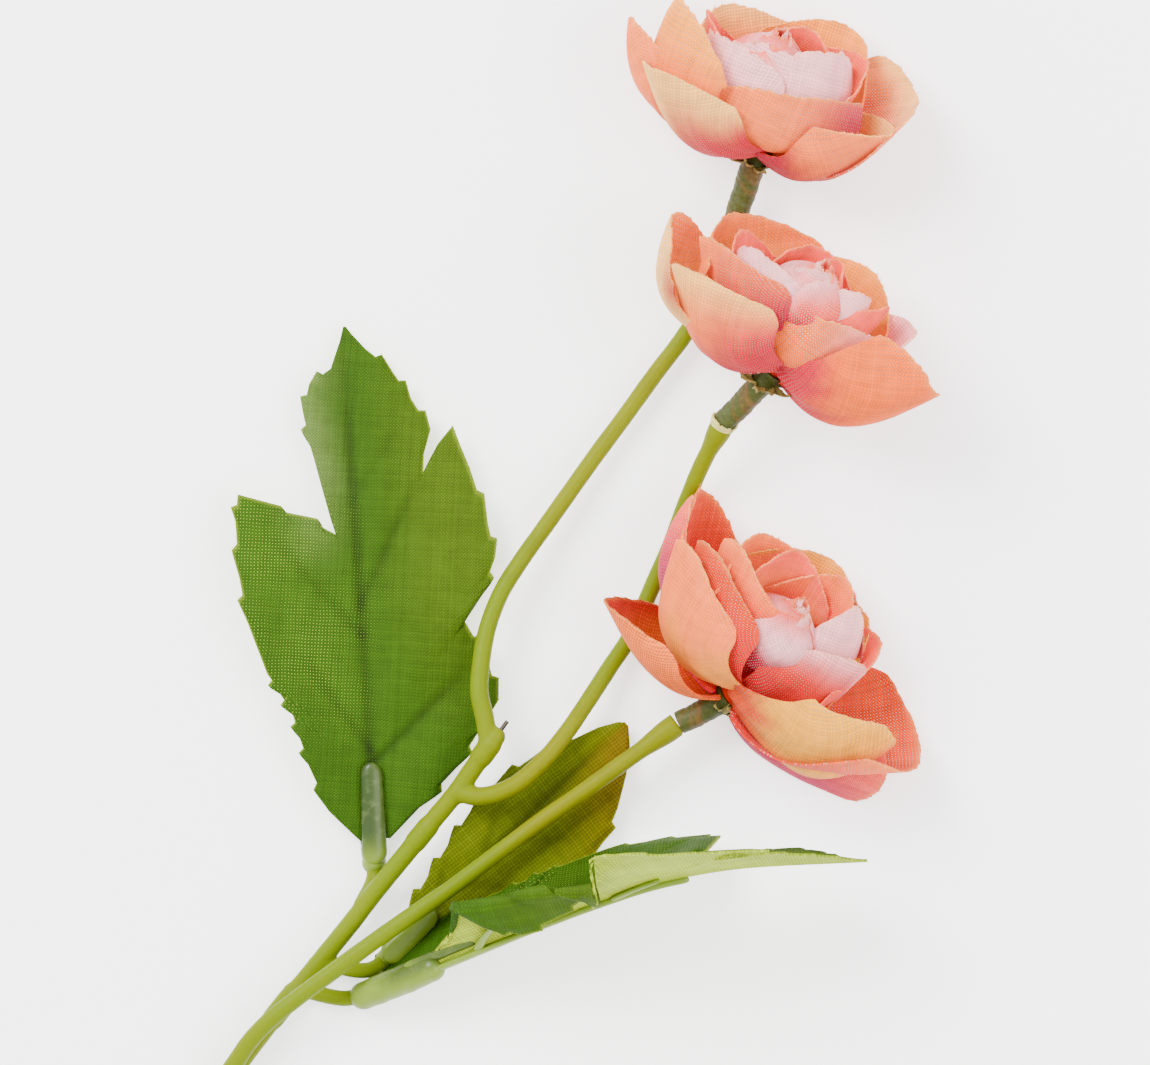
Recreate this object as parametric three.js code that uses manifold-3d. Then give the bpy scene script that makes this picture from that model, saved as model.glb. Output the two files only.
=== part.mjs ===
// A spray of three fabric ranunculus blooms and three fabric leaves on one forked, moulded stem.
// It lies on a table: +Z is up, +Y runs along the stem towards the first bloom, millimetres.

import * as THREE from 'three';
import Module from 'manifold-3d';
import { mergeVertices } from 'three/addons/utils/BufferGeometryUtils.js';

const wasm = await Module();
wasm.setup();

// Driving sizes
const FABRIC = 0.7;           // thickness of a petal or a leaf
const CLEARANCE = 0.35;       // air between two pieces
const STEM_RADIUS = 1.8;      // main stem
const BRANCH_RADIUS = 1.65;   // the three branches
const WIRE_RADIUS = 0.4;      // steel wire in the main stem
const WIRE_BARE = 3.4;        // how far the wire stands out of the stem above the fork
const WIRE_SHORT = 0.3;       // how far it ends short of the stem's cut
const BORE_RADIUS = 0.75;     // bore that the wire lies in
const BORE_PAST = 1;          // how far the bore runs past both ends
const CALYX_RADIUS = 2.15;    // wound tube under a bloom
const CENTRE = [-0.63, -1.64, 0];  // middle of the lying spray, where the origin goes

const OUTER_CELLS = { along: 3, across: 4 };
const BACK_CELLS = { along: 2, across: 4 };  // petals that others hide
const INNER_CELLS = { along: 2, across: 4 };
const SEPAL_CELLS = { along: 1, across: 2 };
const PLAIN_PETAL = {
  width: 24, bulge: 5, skew: 0.4, cup: 55, pinch: 0.25, drop: 0.36, round: 1.9,
  base: 0, rootRadius: 1.2, rootWidth: 0.3, ruffle: 0.35, sweep: 0,
};
const PLAIN_SEPAL = { width: 5.5, bulge: -0.8, cup: 20, pinch: 0, ruffle: 0, base: -2.6, rootWidth: 0.6 };
const ROOTWARD = 0.35;                        // how far a petal's outside looks down the bloom's axis
const SWELL = { reach: 0.72, power: 0.9 };    // how the width grows from root to tip
const RUFFLE_TURN = 5.1;                      // angle that a ruffle's wave runs through in half a petal
const CREASE_SOFTNESS = 0.06;                 // share of the width that rounds the crease at the tip

// Each next petal of the bud stands higher, nearer to the axis and is narrower.
const BUD = { turn: 396, rise: 0.2, nearer: 0.75, narrower: 0.8, length: 16, below: 5 };
const BUD_PETAL = { bulge: 3, cup: 80, drop: 0.22, round: 2.5, rootRadius: 2.5, rootWidth: 0.6 };

// Cores that the roots are sunk in and the room for them: rows of height up the bloom's axis and radius.
const SEAT = [[-0.6, 0], [-0.6, 2], [1, 3], [4, 3.2], [5.6, 2.4], [5.6, 0]];
const SEAT_SPACE = [[-0.9, 0], [-0.9, 2.4], [1, 3.35], [5, 3.6], [6, 0]];
const budCore = (top) => [[6.4, 0], [6.4, 2.6], [9, 3.8], [top - 2, 4], [top, 2], [top, 0]];
const budSpace = (top) => [[6.1, 0], [6.1, 3], [9, 4.2], [top - 2, 4.4], [top + 0.3, 2.2], [top + 0.3, 0]];

// Petals: tip is measured from the bloom's root, width across, bulge is how far the middle bows out,
// cup is how far each edge turns up in degrees, face is the way the outside looks round the bloom's
// axis (0 up, -90 left, 90 right), base is how far up the axis the petal starts.
const BLOOMS = [
  {
    name: 'bloom_1',
    root: [46.3, 90.7, 10],
    axis: [5.9, 16.3, 11],
    outer: [
      { tip: [-23.3, 24.8, 4], width: 32, bulge: 8, cup: 55, face: -80 },
      { tip: [-20.7, 15.7, 16], width: 28, bulge: 6, cup: 60, face: -48 },
      { tip: [24.8, 2, 14], width: 28, bulge: 5, cup: 60, face: 58 },
      { tip: [29, 15.5, 3], width: 31, cup: 50, drop: 0.28 },
      { tip: [17, 22.8, -4], back: true, width: 34, bulge: 4, cup: 50, drop: 0.25 },
      { tip: [-5.5, 27.2, -4], back: true, width: 36, bulge: 4, cup: 50, drop: 0.25 },
      { tip: [-15.5, 27.3, 9], width: 32, bulge: 7, cup: 60, drop: 0.22, face: -50, base: 3 },
      { tip: [4.8, 10.8, 18.2], width: 35, cup: 45, drop: 0.14, face: 0, base: 2 },
    ],
    inner: [
      { tip: [17.5, 17.5, 9], width: 22, cup: 55, drop: 0.22, face: 75, base: 5 },
      { tip: [-2.8, 18.8, 18], width: 33, cup: 75, drop: 0.14, face: -25, base: 6 },
      { tip: [11.5, 20.7, 17], width: 28, cup: 75, drop: 0.22, face: 35, base: 6 },
      { tip: [8, 24, 7], width: 26, bulge: 4, cup: 60, drop: 0.25, base: 6 },
      { tip: [-9.8, 25.8, 8], width: 20, bulge: 4, cup: 60, face: -80, base: 6 },
    ],
    heart: { count: 2, radius: 4.2, height: 20.5, width: 14, start: -20 },
  },
  {
    name: 'bloom_2',
    root: [48.8, 49.6, 18],
    axis: [8.9, 15.7, 13],
    outer: [
      { tip: [-17, 29, 1], width: 40, bulge: 8, cup: 45, drop: 0.16, round: 2.5, face: -105 },
      { tip: [-1.3, 30, -3], back: true, width: 32, cup: 50, drop: 0.25 },
      { tip: [18.5, 18.5, -4], back: true, width: 35, cup: 50, drop: 0.25 },
      { tip: [-17.8, 19.8, 12], width: 30, bulge: 6, cup: 58, face: -43 },
      { tip: [30.5, -3.9, 10], width: 30, bulge: 6, cup: 55, face: 32 },
      { tip: [26, 8, 3], back: true, width: 26, cup: 50 },
      { tip: [-14.3, 25, 10], width: 28, cup: 55, face: -50, base: 3 },
      { tip: [17.8, 8.7, 15], width: 25, bulge: 4, cup: 55, drop: 0.2, face: 20, base: 3 },
      { tip: [-3.5, 26.6, 6], back: true, width: 22, bulge: 4, cup: 55, base: 4 },
      { tip: [8, 23.5, 5], back: true, width: 26, bulge: 4, cup: 55, drop: 0.25, base: 4 },
    ],
    inner: [
      { tip: [-2.2, 23.5, 13.5], width: 30, bulge: 4, cup: 70, face: -28, base: 6 },
      { tip: [16.7, 14.3, 13], width: 24, bulge: 4, cup: 65, face: 30, base: 6 },
      { tip: [13, 20, 9], width: 22, bulge: 4, cup: 65, face: 120, base: 6 },
    ],
    heart: { count: 2, radius: 4.5, height: 23, width: 15, start: -20 },
  },
  {
    name: 'bloom_3',
    root: [40.5, -10.7, 10.5],
    axis: [13.5, 15.9, 13],
    outer: [
      { tip: [-22.6, 17.8, 4], width: 27, cup: 58 },
      { tip: [-4.4, 39, 0], width: 34, bulge: 7, cup: 60, face: -110, sweep: 2 },
      { tip: [31, -7.4, 8], width: 29, bulge: 7, cup: 58, face: 70 },
      { tip: [35, -12, -2], back: true, width: 36, cup: 50, drop: 0.25 },
      { tip: [20, 25.5, -3], back: true, width: 36, cup: 45, drop: 0.2 },
      { tip: [28, -17, -4], back: true, width: 26, bulge: 4, cup: 50 },
      { tip: [26, 15.5, -3], back: true, width: 28, cup: 45, drop: 0.3 },
      { tip: [-8.3, 29.2, 14], width: 28, bulge: 6, cup: 60, face: -52, base: 4 },
      { tip: [-4.3, 28.7, 14], width: 28, cup: 60, face: -46, base: 4.5 },
      { tip: [7, 30.5, 5], back: true, width: 34, cup: 50, drop: 0.2, base: 4 },
      { tip: [28.7, 10.7, 1], back: true, width: 26, cup: 50, base: 3 },
      { tip: [25.5, 5.5, 13], width: 30, bulge: 6, cup: 60, face: 42, base: 4 },
    ],
    inner: [
      { tip: [0.6, 29.6, 14], width: 28, bulge: 4, cup: 60, face: -40, base: 6 },
      { tip: [23.7, 16.8, 10], width: 20, bulge: 4, cup: 55, face: 70, base: 7 },
      { tip: [20.5, 21.5, 7], width: 22, bulge: 4, cup: 55, base: 7 },
      { tip: [12, 25, 9], width: 22, bulge: 4, cup: 55, drop: 0.25, base: 7 },
    ],
    heart: { count: 2, radius: 6.5, height: 25.5, width: 19, start: -45 },
  },
];

// Stem routes, bottom to top. Each branch starts inside what it grows from.
const MAIN_ROUTE = [
  [-79.2, -120.3, 1.7], [-61.2, -94.4, 1.8], [-50, -78.8, 2.1], [-42.6, -69, 2.6], [-35.6, -60.5, 3.5],
  [-28.7, -52, 4.7], [-24.4, -46.4, 5.6], [-19.6, -40.5, 6.7], [-14.5, -34.2, 7.9], [-9.3, -27.9, 9.1],
  [-5.2, -22, 10.3], [-2.2, -17.9, 11.2],
];
const BRANCH_A = [
  [-3.6, -19.4, 10.9], [-4.3, -14.6, 10.8], [-5.3, -9.8, 10.6], [-5, -4.4, 10], [-3.8, 2.2, 9],
  [-1.2, 8.9, 7.8], [2.2, 14.4, 6.8], [6.8, 20.9, 5.8], [11.2, 27.1, 5], [16.4, 34.4, 4.4],
  [21.6, 41.4, 4], [27, 48.9, 4], [33.6, 57.8, 4.2], [38.3, 66.6, 5], [42, 77.6, 6.6],
];
const BRANCH_B = [
  [-10.2, -28, 9.1], [-5.2, -29, 9.8], [0.4, -27.4, 9.8], [6.1, -22.8, 9.2], [10.5, -17.6, 8.2],
  [14.1, -12.4, 6.8], [19.2, -4.6, 4.6], [22.4, 0.2, 3.4], [24.8, 5.4, 2.8], [27.2, 10.9, 2.7],
  [29.6, 16.3, 3.2], [33.3, 26.2, 5.4], [35.6, 31.8, 7.8], [37.9, 36.4, 10.6], [39.8, 40, 13.2],
];
const BRANCH_C = [
  [-58.6, -90.6, 2.2], [-54.6, -84.4, 4.2], [-50.7, -78.6, 6.4], [-47.7, -74.2, 7.8], [-44.4, -70.7, 8.7],
  [-39.1, -66.4, 9.4], [-32.4, -61.4, 9.8], [-22.2, -54, 9.8], [-10.7, -46.1, 9.6], [-1.5, -39.2, 9.4],
  [6.2, -33.5, 9.2], [15.2, -27.2, 9], [25.9, -19.5, 8.6], [31.4, -15.6, 8.6],
];
const MAIN_STEPS = 13;
const ROD_SIDES = { main: 8, branch: 7, socket: 8, bore: 5 };
const BRANCHES = [
  { route: BRANCH_A, steps: 13 }, { route: BRANCH_B, steps: 14 }, { route: BRANCH_C, steps: 9 },
];
const COLLARS = [
  { at: 0.5, length: 9, radius: 2.1 },
  { at: 0.82, length: 6, radius: 2.05 },
  { at: 0.975, length: 5, radius: 2.15 },
];
const BRANCH_SOCKET = { length: 3, wall: 0.5 };        // sleeve at a branch's end, under the calyx
const PEG = { radius: 1.5, sides: 6, steps: 3, straight: 1.5 };
const CALYX = { sides: 8, steps: 3, straight: 3, below: 0.9 };
const SEPALS = { count: 5, start: 30, stagger: 9, reach: 6.6, depth: 3.6, uneven: 0.5 };

// Leaf outlines: each row is the foot of a side vein on the midrib, then the edge to the left and to
// the right that the vein runs out to. teeth: a tooth follows the row.
const LOBED_OUTLINE = [
  { foot: 0, left: [-2.4, 0.2], right: [3.1, 0.6], teeth: false },
  { foot: 2, left: [-8.1, 6.1], right: [8.7, 6.1], teeth: true },
  { foot: 5, left: [-11.7, 15], right: [15.8, 13.1], teeth: true },
  { foot: 8, left: [-13, 20], right: [20.3, 19.6], teeth: true },
  { foot: 11, left: [-14.2, 25], right: [24.3, 25], teeth: true },
  { foot: 14, left: [-16.4, 29], right: [22.7, 32.4], teeth: true },
  { foot: 18, left: [-18.4, 32.7], right: [18.9, 39.8], teeth: false },
  { foot: 22, left: [-21.4, 42.6], right: [22.5, 44.6], teeth: true },
  { foot: 26, left: [-22.2, 50.5], right: [25.5, 51.2], teeth: true },
  { foot: 30, left: [-22.2, 61.2], right: [24.6, 57.5], teeth: true },
  { foot: 34, left: [-21.4, 66], right: [22, 68], teeth: false },
  { foot: 37, left: [-12.8, 62.2], right: [19.3, 76.4], teeth: false },
  { foot: 40, left: [-7, 60.6], right: [16.7, 73.4], teeth: false },
  { foot: 46, left: [-3.7, 57.4], right: [12.8, 67.4], teeth: false },
  { foot: 53, left: [-5.7, 66.8], right: [13.6, 71.4], teeth: false },
  { foot: 61, left: [-7.3, 74.2], right: [15.1, 75.9], teeth: true },
  { foot: 69, left: [-8.4, 80.5], right: [11.7, 82], teeth: true },
  { foot: 77, left: [-7, 85.5], right: [8.3, 87.5], teeth: true },
  { foot: 86, left: [-2.9, 88.2], right: [3.7, 91.6], teeth: false },
  { foot: 96, left: [0, 96], right: [0, 96], teeth: false },
];
const PLAIN_OUTLINE = [
  { foot: 0, left: [-1.5, 0.2], right: [2, 0.4], teeth: false },
  { foot: 2, left: [-3.6, 5.9], right: [6, 5.5], teeth: true },
  { foot: 6, left: [-5.2, 12.5], right: [10, 12], teeth: true },
  { foot: 11, left: [-6.7, 19.2], right: [12.5, 18.5], teeth: true },
  { foot: 16, left: [-8.3, 26.5], right: [13.8, 25.5], teeth: true },
  { foot: 22, left: [-8.8, 34], right: [14.2, 33], teeth: true },
  { foot: 29, left: [-7.4, 42], right: [13, 40.1], teeth: true },
  { foot: 36, left: [-4.4, 49.9], right: [10.4, 46.4], teeth: false },
  { foot: 44, left: [-2.8, 54.5], right: [7, 52], teeth: false },
  { foot: 52, left: [-1, 57.8], right: [3.6, 56.2], teeth: false },
  { foot: 58.6, left: [0, 58.6], right: [0.8, 58.6], teeth: false },
];
const TOOTH_DEPTH = 1.1;

// rib: the midrib's route; top: the way the upper face looks; left and right: how far each half tilts
// towards the upper face, in degrees, at the base and further out; fold: a flap of the right half turned
// over; socket: length and radius of the holder's tube; peg: where its peg starts inside the stem;
// leftParts and rightParts: where each vein is split, as shares of its length.
const LEAVES = [
  {
    name: 'leaf_1', outline: LOBED_OUTLINE, scale: 1,
    top: [0, 0, 1], left: [10, 4], right: [-3, 4], fold: 0, leftParts: [1], rightParts: [1],
    socket: [4, 2.3], peg: [-27.4, -49.6, 5],
    rib: [[-25, -37.4, 3], [-25.9, -15, 4.4], [-27.4, 8, 4.8], [-29.2, 34, 3.8], [-30.4, 58.1, 1.8]],
  },
  {
    name: 'leaf_2', outline: PLAIN_OUTLINE, scale: 1,
    top: [0, 0, 1], left: [2, 2], right: [-6, -3], fold: 0, leftParts: [1], rightParts: [1],
    socket: [4, 1.7], peg: [-35.2, -60, 3.4],
    rib: [[-20, -56.4, 3.2], [-10, -46.5, 3.8], [1, -35.7, 4.3], [13, -23.9, 4.2], [21.7, -15.4, 3.4]],
  },
  {
    name: 'leaf_3', outline: LOBED_OUTLINE, scale: 0.92,
    top: [0, 1, 0], left: [52, 6], right: [48, -8], fold: 150, leftParts: [1], rightParts: [0.45, 0.64, 1],
    socket: [11, 2.8], peg: [-39.2, -64.8, 3],
    rib: [
      [-15.5, -60.9, 10], [-7.6, -57.6, 14.5], [5.9, -52, 19], [16.5, -48, 21.5], [26.9, -44.6, 23],
      [38.9, -42.2, 24], [66.4, -40.7, 24.5],
    ],
  },
];
const LEAN_RUN = 0.45;  // share of the midrib along which the lean changes
const FOLD = { start: 12, run: 4, from: 4, to: 42, soft: 5 };
const FOLD_STEPS = 16;  // steps that a vein is followed in
const SIDE_RIB = { feet: [0.11, 0.34], share: 0.4, cells: 2, widths: [1.6, 0.8], thickness: 0.8 };

// Holder: its tongue on the upper face and spine on the under face start inside the tube, and run along
// the midrib for a share of the leaf.
const TONGUE = { start: -3, share: 0.18, widths: [5, 3.2], thickness: 1.2, cells: 3 };
const SPINE = { start: -3, share: 0.6, widths: [3, 1], thickness: 1.2, cells: 6 };
const SOCKET_GAP = { base: 0.6, end: 0.5 };  // from the tube to the leaf's base, and past the tube's length

const COLOURS = {
  petals: { color: 0xf3ad86, roughness: 0.75, metalness: 0 },
  heart: { color: 0xefc4c6, roughness: 0.75, metalness: 0 },
  leaf: { color: 0x5f8f30, roughness: 0.7, metalness: 0 },
  holder: { color: 0xa9b86a, roughness: 0.35, metalness: 0 },
  calyx: { color: 0x56683a, roughness: 0.6, metalness: 0 },
  stem: { color: 0xbcc23a, roughness: 0.4, metalness: 0 },
  wire: { color: 0x8c8478, roughness: 0.35, metalness: 0.9 },
};

const group = new THREE.Group();
group.position.set(-CENTRE[0], -CENTRE[1], -CENTRE[2]);

const radians = THREE.MathUtils.degToRad;
const vector = (numbers) => new THREE.Vector3(...numbers);

// Solids

function toSolid(geometry) {
  const plain = geometry.clone();
  plain.deleteAttribute('normal');
  plain.deleteAttribute('uv');
  const merged = mergeVertices(plain, 1e-4);
  const mesh = new wasm.Mesh({
    numProp: 3,
    vertProperties: new Float32Array(merged.attributes.position.array),
    triVerts: new Uint32Array(merged.index.array),
  });
  return new wasm.Manifold(mesh);
}

function toGeometry(solid) {
  const mesh = solid.getMesh();
  const geometry = new THREE.BufferGeometry();
  geometry.setAttribute('position', new THREE.BufferAttribute(new Float32Array(mesh.vertProperties), 3));
  geometry.setIndex(new THREE.BufferAttribute(new Uint32Array(mesh.triVerts), 1));
  return geometry;
}

// Joins solids to one and keeps its largest body, so that a pocket closed by the join is filled.
function fuse(solids) {
  let whole = solids[0];
  for (const solid of solids.slice(1)) {
    whole = whole.add(solid);
  }
  return largest(whole);
}

function largest(solid) {
  const bodies = solid.decompose();
  bodies.sort((one, two) => two.volume() - one.volume());
  return bodies[0];
}

function cut(solid, tools) {
  let rest = solid;
  for (const tool of tools) {
    rest = rest.subtract(tool);
  }
  return largest(rest);
}

// The table's surface: what would reach below it is trimmed to a small flat spot.
function aboveTable(solid) {
  const slab = new THREE.BoxGeometry(400, 400, 20);
  slab.translate(0, 0, CENTRE[2] - 10);
  return largest(solid.subtract(toSolid(slab)));
}

function addNode(name, solid, look) {
  const material = new THREE.MeshStandardMaterial(look);
  const mesh = new THREE.Mesh(toGeometry(solid), material);
  mesh.name = name;
  group.add(mesh);
}

// A closed blade: the grid of middle points, moved half a thickness to each side along the grid's
// normal. Both faces are split along the same diagonals.
function bladeSolid(grid, thickness, shift = 0) {
  const rows = grid.length;
  const columns = grid[0].length;
  const normals = gridNormals(grid);
  const positions = [];
  for (const sign of [1, -1]) {
    for (let i = 0; i < rows; i += 1) {
      for (let j = 0; j < columns; j += 1) {
        const point = grid[i][j].clone().addScaledVector(normals[i][j], shift + (sign * thickness) / 2);
        positions.push(point.x, point.y, point.z);
      }
    }
  }
  const at = (face, i, j) => face * rows * columns + i * columns + j;
  const index = [];
  for (let i = 0; i < rows - 1; i += 1) {
    for (let j = 0; j < columns - 1; j += 1) {
      const [a, b, c, d] = [[i, j], [i + 1, j], [i + 1, j + 1], [i, j + 1]];
      index.push(at(0, ...a), at(0, ...b), at(0, ...c), at(0, ...a), at(0, ...c), at(0, ...d));
      index.push(at(1, ...a), at(1, ...c), at(1, ...b), at(1, ...a), at(1, ...d), at(1, ...c));
    }
  }
  for (const [one, two] of rimEdges(rows, columns)) {
    index.push(at(0, ...two), at(0, ...one), at(1, ...one), at(0, ...two), at(1, ...one), at(1, ...two));
  }
  const geometry = new THREE.BufferGeometry();
  geometry.setAttribute('position', new THREE.BufferAttribute(new Float32Array(positions), 3));
  geometry.setIndex(index);
  return toSolid(geometry);
}

function rimEdges(rows, columns) {
  const ring = [];
  for (let i = 0; i < rows - 1; i += 1) ring.push([i, 0]);
  for (let j = 0; j < columns - 1; j += 1) ring.push([rows - 1, j]);
  for (let i = rows - 1; i > 0; i -= 1) ring.push([i, columns - 1]);
  for (let j = columns - 1; j > 0; j -= 1) ring.push([0, j]);
  return ring.map((place, k) => [place, ring[(k + 1) % ring.length]]);
}

function gridNormals(grid) {
  const rows = grid.length;
  const columns = grid[0].length;
  return grid.map((row, i) => row.map((_, j) => {
    const down = grid[Math.min(i + 1, rows - 1)][j].clone().sub(grid[Math.max(i - 1, 0)][j]);
    const over = row[Math.min(j + 1, columns - 1)].clone().sub(row[Math.max(j - 1, 0)]);
    return down.cross(over).normalize();
  }));
}

// A rod along a smooth route, with a regular section.
function rodSolid(points, radius, sides, steps) {
  const section = new THREE.Shape();
  for (let k = 0; k < sides; k += 1) {
    const turn = (2 * Math.PI * k) / sides;
    section[k === 0 ? 'moveTo' : 'lineTo'](radius * Math.cos(turn), radius * Math.sin(turn));
  }
  section.closePath();
  const curve = new THREE.CatmullRomCurve3(points.map(vector), false, 'centripetal');
  return toSolid(new THREE.ExtrudeGeometry(section, { steps, extrudePath: curve }));
}

// Petals

function facing(petal, axis, radial) {
  if (petal.face === undefined) {
    return radial.clone().addScaledVector(axis, -ROOTWARD);
  }
  const front = new THREE.Vector3(0, 0, 1).addScaledVector(axis, -axis.z).normalize();
  const side = axis.clone().cross(front);
  const turn = radians(petal.face);
  front.multiplyScalar(Math.cos(turn)).addScaledVector(side, Math.sin(turn));
  return front.addScaledVector(axis, -ROOTWARD);
}

// Middle surface of a petal. u runs from root to tip and v from edge to edge, -1 to 1. The centre line
// bows out from the straight line between root and tip; the section is an arc with a crease at the tip.
function petalGrid(entry, bloom, usual) {
  const petal = { ...PLAIN_PETAL, ...entry };
  const cells = petal.back ? BACK_CELLS : usual;
  const axis = vector(bloom.axis).normalize();
  const root = vector(bloom.root);
  const tip = vector(petal.tip);
  const radial = tip.clone().addScaledVector(axis, -tip.dot(axis)).normalize();
  const base = axis.clone().multiplyScalar(petal.base).addScaledVector(radial, petal.rootRadius);
  const run = tip.clone().sub(base);
  const length = run.length();
  const along = run.clone().normalize();
  const out = facing(petal, axis, radial);
  out.addScaledVector(along, -out.dot(along)).normalize();
  const side = along.clone().cross(out);
  const bend = radians(petal.cup) / (petal.width / 2);
  const grid = [];
  for (let i = 0; i <= cells.along; i += 1) {
    const row = [];
    const u = i / cells.along;
    for (let j = 0; j <= cells.across; j += 1) {
      const v = (2 * j) / cells.across - 1;
      const f = u * (1 - petal.drop * Math.abs(v) ** petal.round);
      const swell = Math.sin(SWELL.reach * Math.PI * u) ** SWELL.power;
      const half = (petal.width / 2) * (petal.rootWidth + (1 - petal.rootWidth) * swell);
      const uneven = 1 + petal.skew * (1 - 2 * f);
      const bow = 4 * petal.bulge * f * (1 - f) * uneven;
      const slope = 4 * petal.bulge * ((1 - 2 * f) * uneven - 2 * petal.skew * f * (1 - f));
      const tangent = along.clone().multiplyScalar(length).addScaledVector(out, slope).normalize();
      const normal = side.clone().cross(tangent);
      const reach = v * half;
      const crease = petal.pinch * u ** 3;
      const soft = CREASE_SOFTNESS * petal.width;
      const across = Math.sin(bend * reach) / bend / Math.sqrt(1 + crease ** 2);
      const turned = (1 - Math.cos(bend * reach)) / bend + crease * (Math.hypot(reach, soft) - soft);
      const wave = petal.ruffle * u ** 2 * Math.sin(RUFFLE_TURN * v + petal.width);
      const point = root.clone().add(base).addScaledVector(run, f).addScaledVector(out, bow);
      point.addScaledVector(side, across + 4 * petal.sweep * f * (1 - f));
      point.addScaledVector(normal, -turned - wave);
      row.push(point);
    }
    grid.push(row);
  }
  return grid;
}

// The bud in the middle: small petals wound round the axis.
function heartPetals(bloom) {
  const { count, radius, height, width, start } = bloom.heart;
  const axis = vector(bloom.axis).normalize();
  const front = new THREE.Vector3(0, 0, 1).addScaledVector(axis, -axis.z).normalize();
  const side = axis.clone().cross(front);
  const petals = [];
  for (let k = 0; k < count; k += 1) {
    const turn = radians(start + (BUD.turn * k) / count);
    const top = height + BUD.rise * k;
    const tip = axis.clone().multiplyScalar(top);
    tip.addScaledVector(front, Math.cos(turn) * (radius - BUD.nearer * k));
    tip.addScaledVector(side, Math.sin(turn) * (radius - BUD.nearer * k));
    petals.push({
      ...BUD_PETAL, tip: tip.toArray(), width: width - BUD.narrower * k, base: top - BUD.length,
    });
  }
  return petals;
}

// A round core on the bloom's axis that the roots are sunk in: rows are [height, radius].
function coreSolid(bloom, rows) {
  const profile = rows.map(([height, radius]) => new THREE.Vector2(radius, height));
  const geometry = new THREE.LatheGeometry(profile, 6);
  const upright = new THREE.Vector3(0, 1, 0);
  const turn = new THREE.Quaternion().setFromUnitVectors(upright, vector(bloom.axis).normalize());
  geometry.applyQuaternion(turn);
  geometry.translate(...bloom.root);
  return toSolid(geometry);
}

function plain(petals, bloom, cells) {
  return petals.map((petal) => bladeSolid(petalGrid(petal, bloom, cells), FABRIC));
}

// The room that petals need, clearance included, with the same facets as the petals.
function swollen(petals, bloom, cells) {
  return petals.map((petal) => bladeSolid(spread(petalGrid(petal, bloom, cells)), FABRIC + 2 * CLEARANCE));
}

// Moves a grid's rim outwards by the clearance, along the grid's own lines.
function spread(grid) {
  const away = (point, inner) => point.clone().sub(inner).setLength(CLEARANCE);
  const rows = grid.length;
  const columns = grid[0].length;
  return grid.map((row, i) => row.map((point, j) => {
    const moved = point.clone();
    if (i === 0) moved.add(away(point, grid[1][j]));
    if (i === rows - 1) moved.add(away(point, grid[rows - 2][j]));
    if (j === 0) moved.add(away(point, row[1]));
    if (j === columns - 1) moved.add(away(point, row[columns - 2]));
    return moved;
  }));
}

function addBloom(bloom) {
  const innerPetals = [...bloom.inner, ...heartPetals(bloom)];
  const top = bloom.heart.height - BUD.below;
  const inner = fuse([coreSolid(bloom, budCore(top)), ...plain(innerPetals, bloom, INNER_CELLS)]);
  const whole = fuse([coreSolid(bloom, SEAT), ...plain(bloom.outer, bloom, OUTER_CELLS)]);
  const outer = cut(whole, [coreSolid(bloom, budSpace(top)), ...swollen(innerPetals, bloom, INNER_CELLS)]);
  addNode(`${bloom.name}_petals`, aboveTable(outer), COLOURS.petals);
  addNode(`${bloom.name}_heart`, aboveTable(inner), COLOURS.heart);
}

// Calyx: the wound tube from the branch's end to the bloom's root, with five ragged sepals that lie
// against the petals. What the petals need is cut away.
function addCalyx(bloom, number, branch) {
  const end = vector(branch[branch.length - 1]);
  const before = vector(branch[branch.length - 2]);
  const away = end.clone().sub(before).normalize();
  const axis = vector(bloom.axis).normalize();
  const root = vector(bloom.root);
  const route = [
    end.clone().addScaledVector(away, CLEARANCE), end.clone().addScaledVector(away, CALYX.straight),
    root.clone().addScaledVector(axis, -CALYX.straight), root.clone().addScaledVector(axis, -CALYX.below),
  ];
  const tube = rodSolid(route.map((point) => point.toArray()), CALYX_RADIUS, CALYX.sides, CALYX.steps);
  const front = new THREE.Vector3(0, 0, 1).addScaledVector(axis, -axis.z).normalize();
  const side = axis.clone().cross(front);
  const sepals = [];
  for (let k = 0; k < SEPALS.count; k += 1) {
    const turn = radians(SEPALS.start + (360 * k) / SEPALS.count + SEPALS.stagger * (k % 2));
    const tip = axis.clone().multiplyScalar(-SEPALS.depth - SEPALS.uneven * (k % 3));
    tip.addScaledVector(front, SEPALS.reach * Math.cos(turn));
    tip.addScaledVector(side, SEPALS.reach * Math.sin(turn));
    sepals.push(bladeSolid(petalGrid({ ...PLAIN_SEPAL, tip: tip.toArray() }, bloom, SEPAL_CELLS), FABRIC));
  }
  const space = [coreSolid(bloom, SEAT_SPACE), ...swollen(bloom.outer, bloom, OUTER_CELLS)];
  const calyx = cut(fuse([tube, ...sepals]), space);
  addNode(`calyx_${number}`, aboveTable(calyx), COLOURS.calyx);
}

// Leaves

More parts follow.
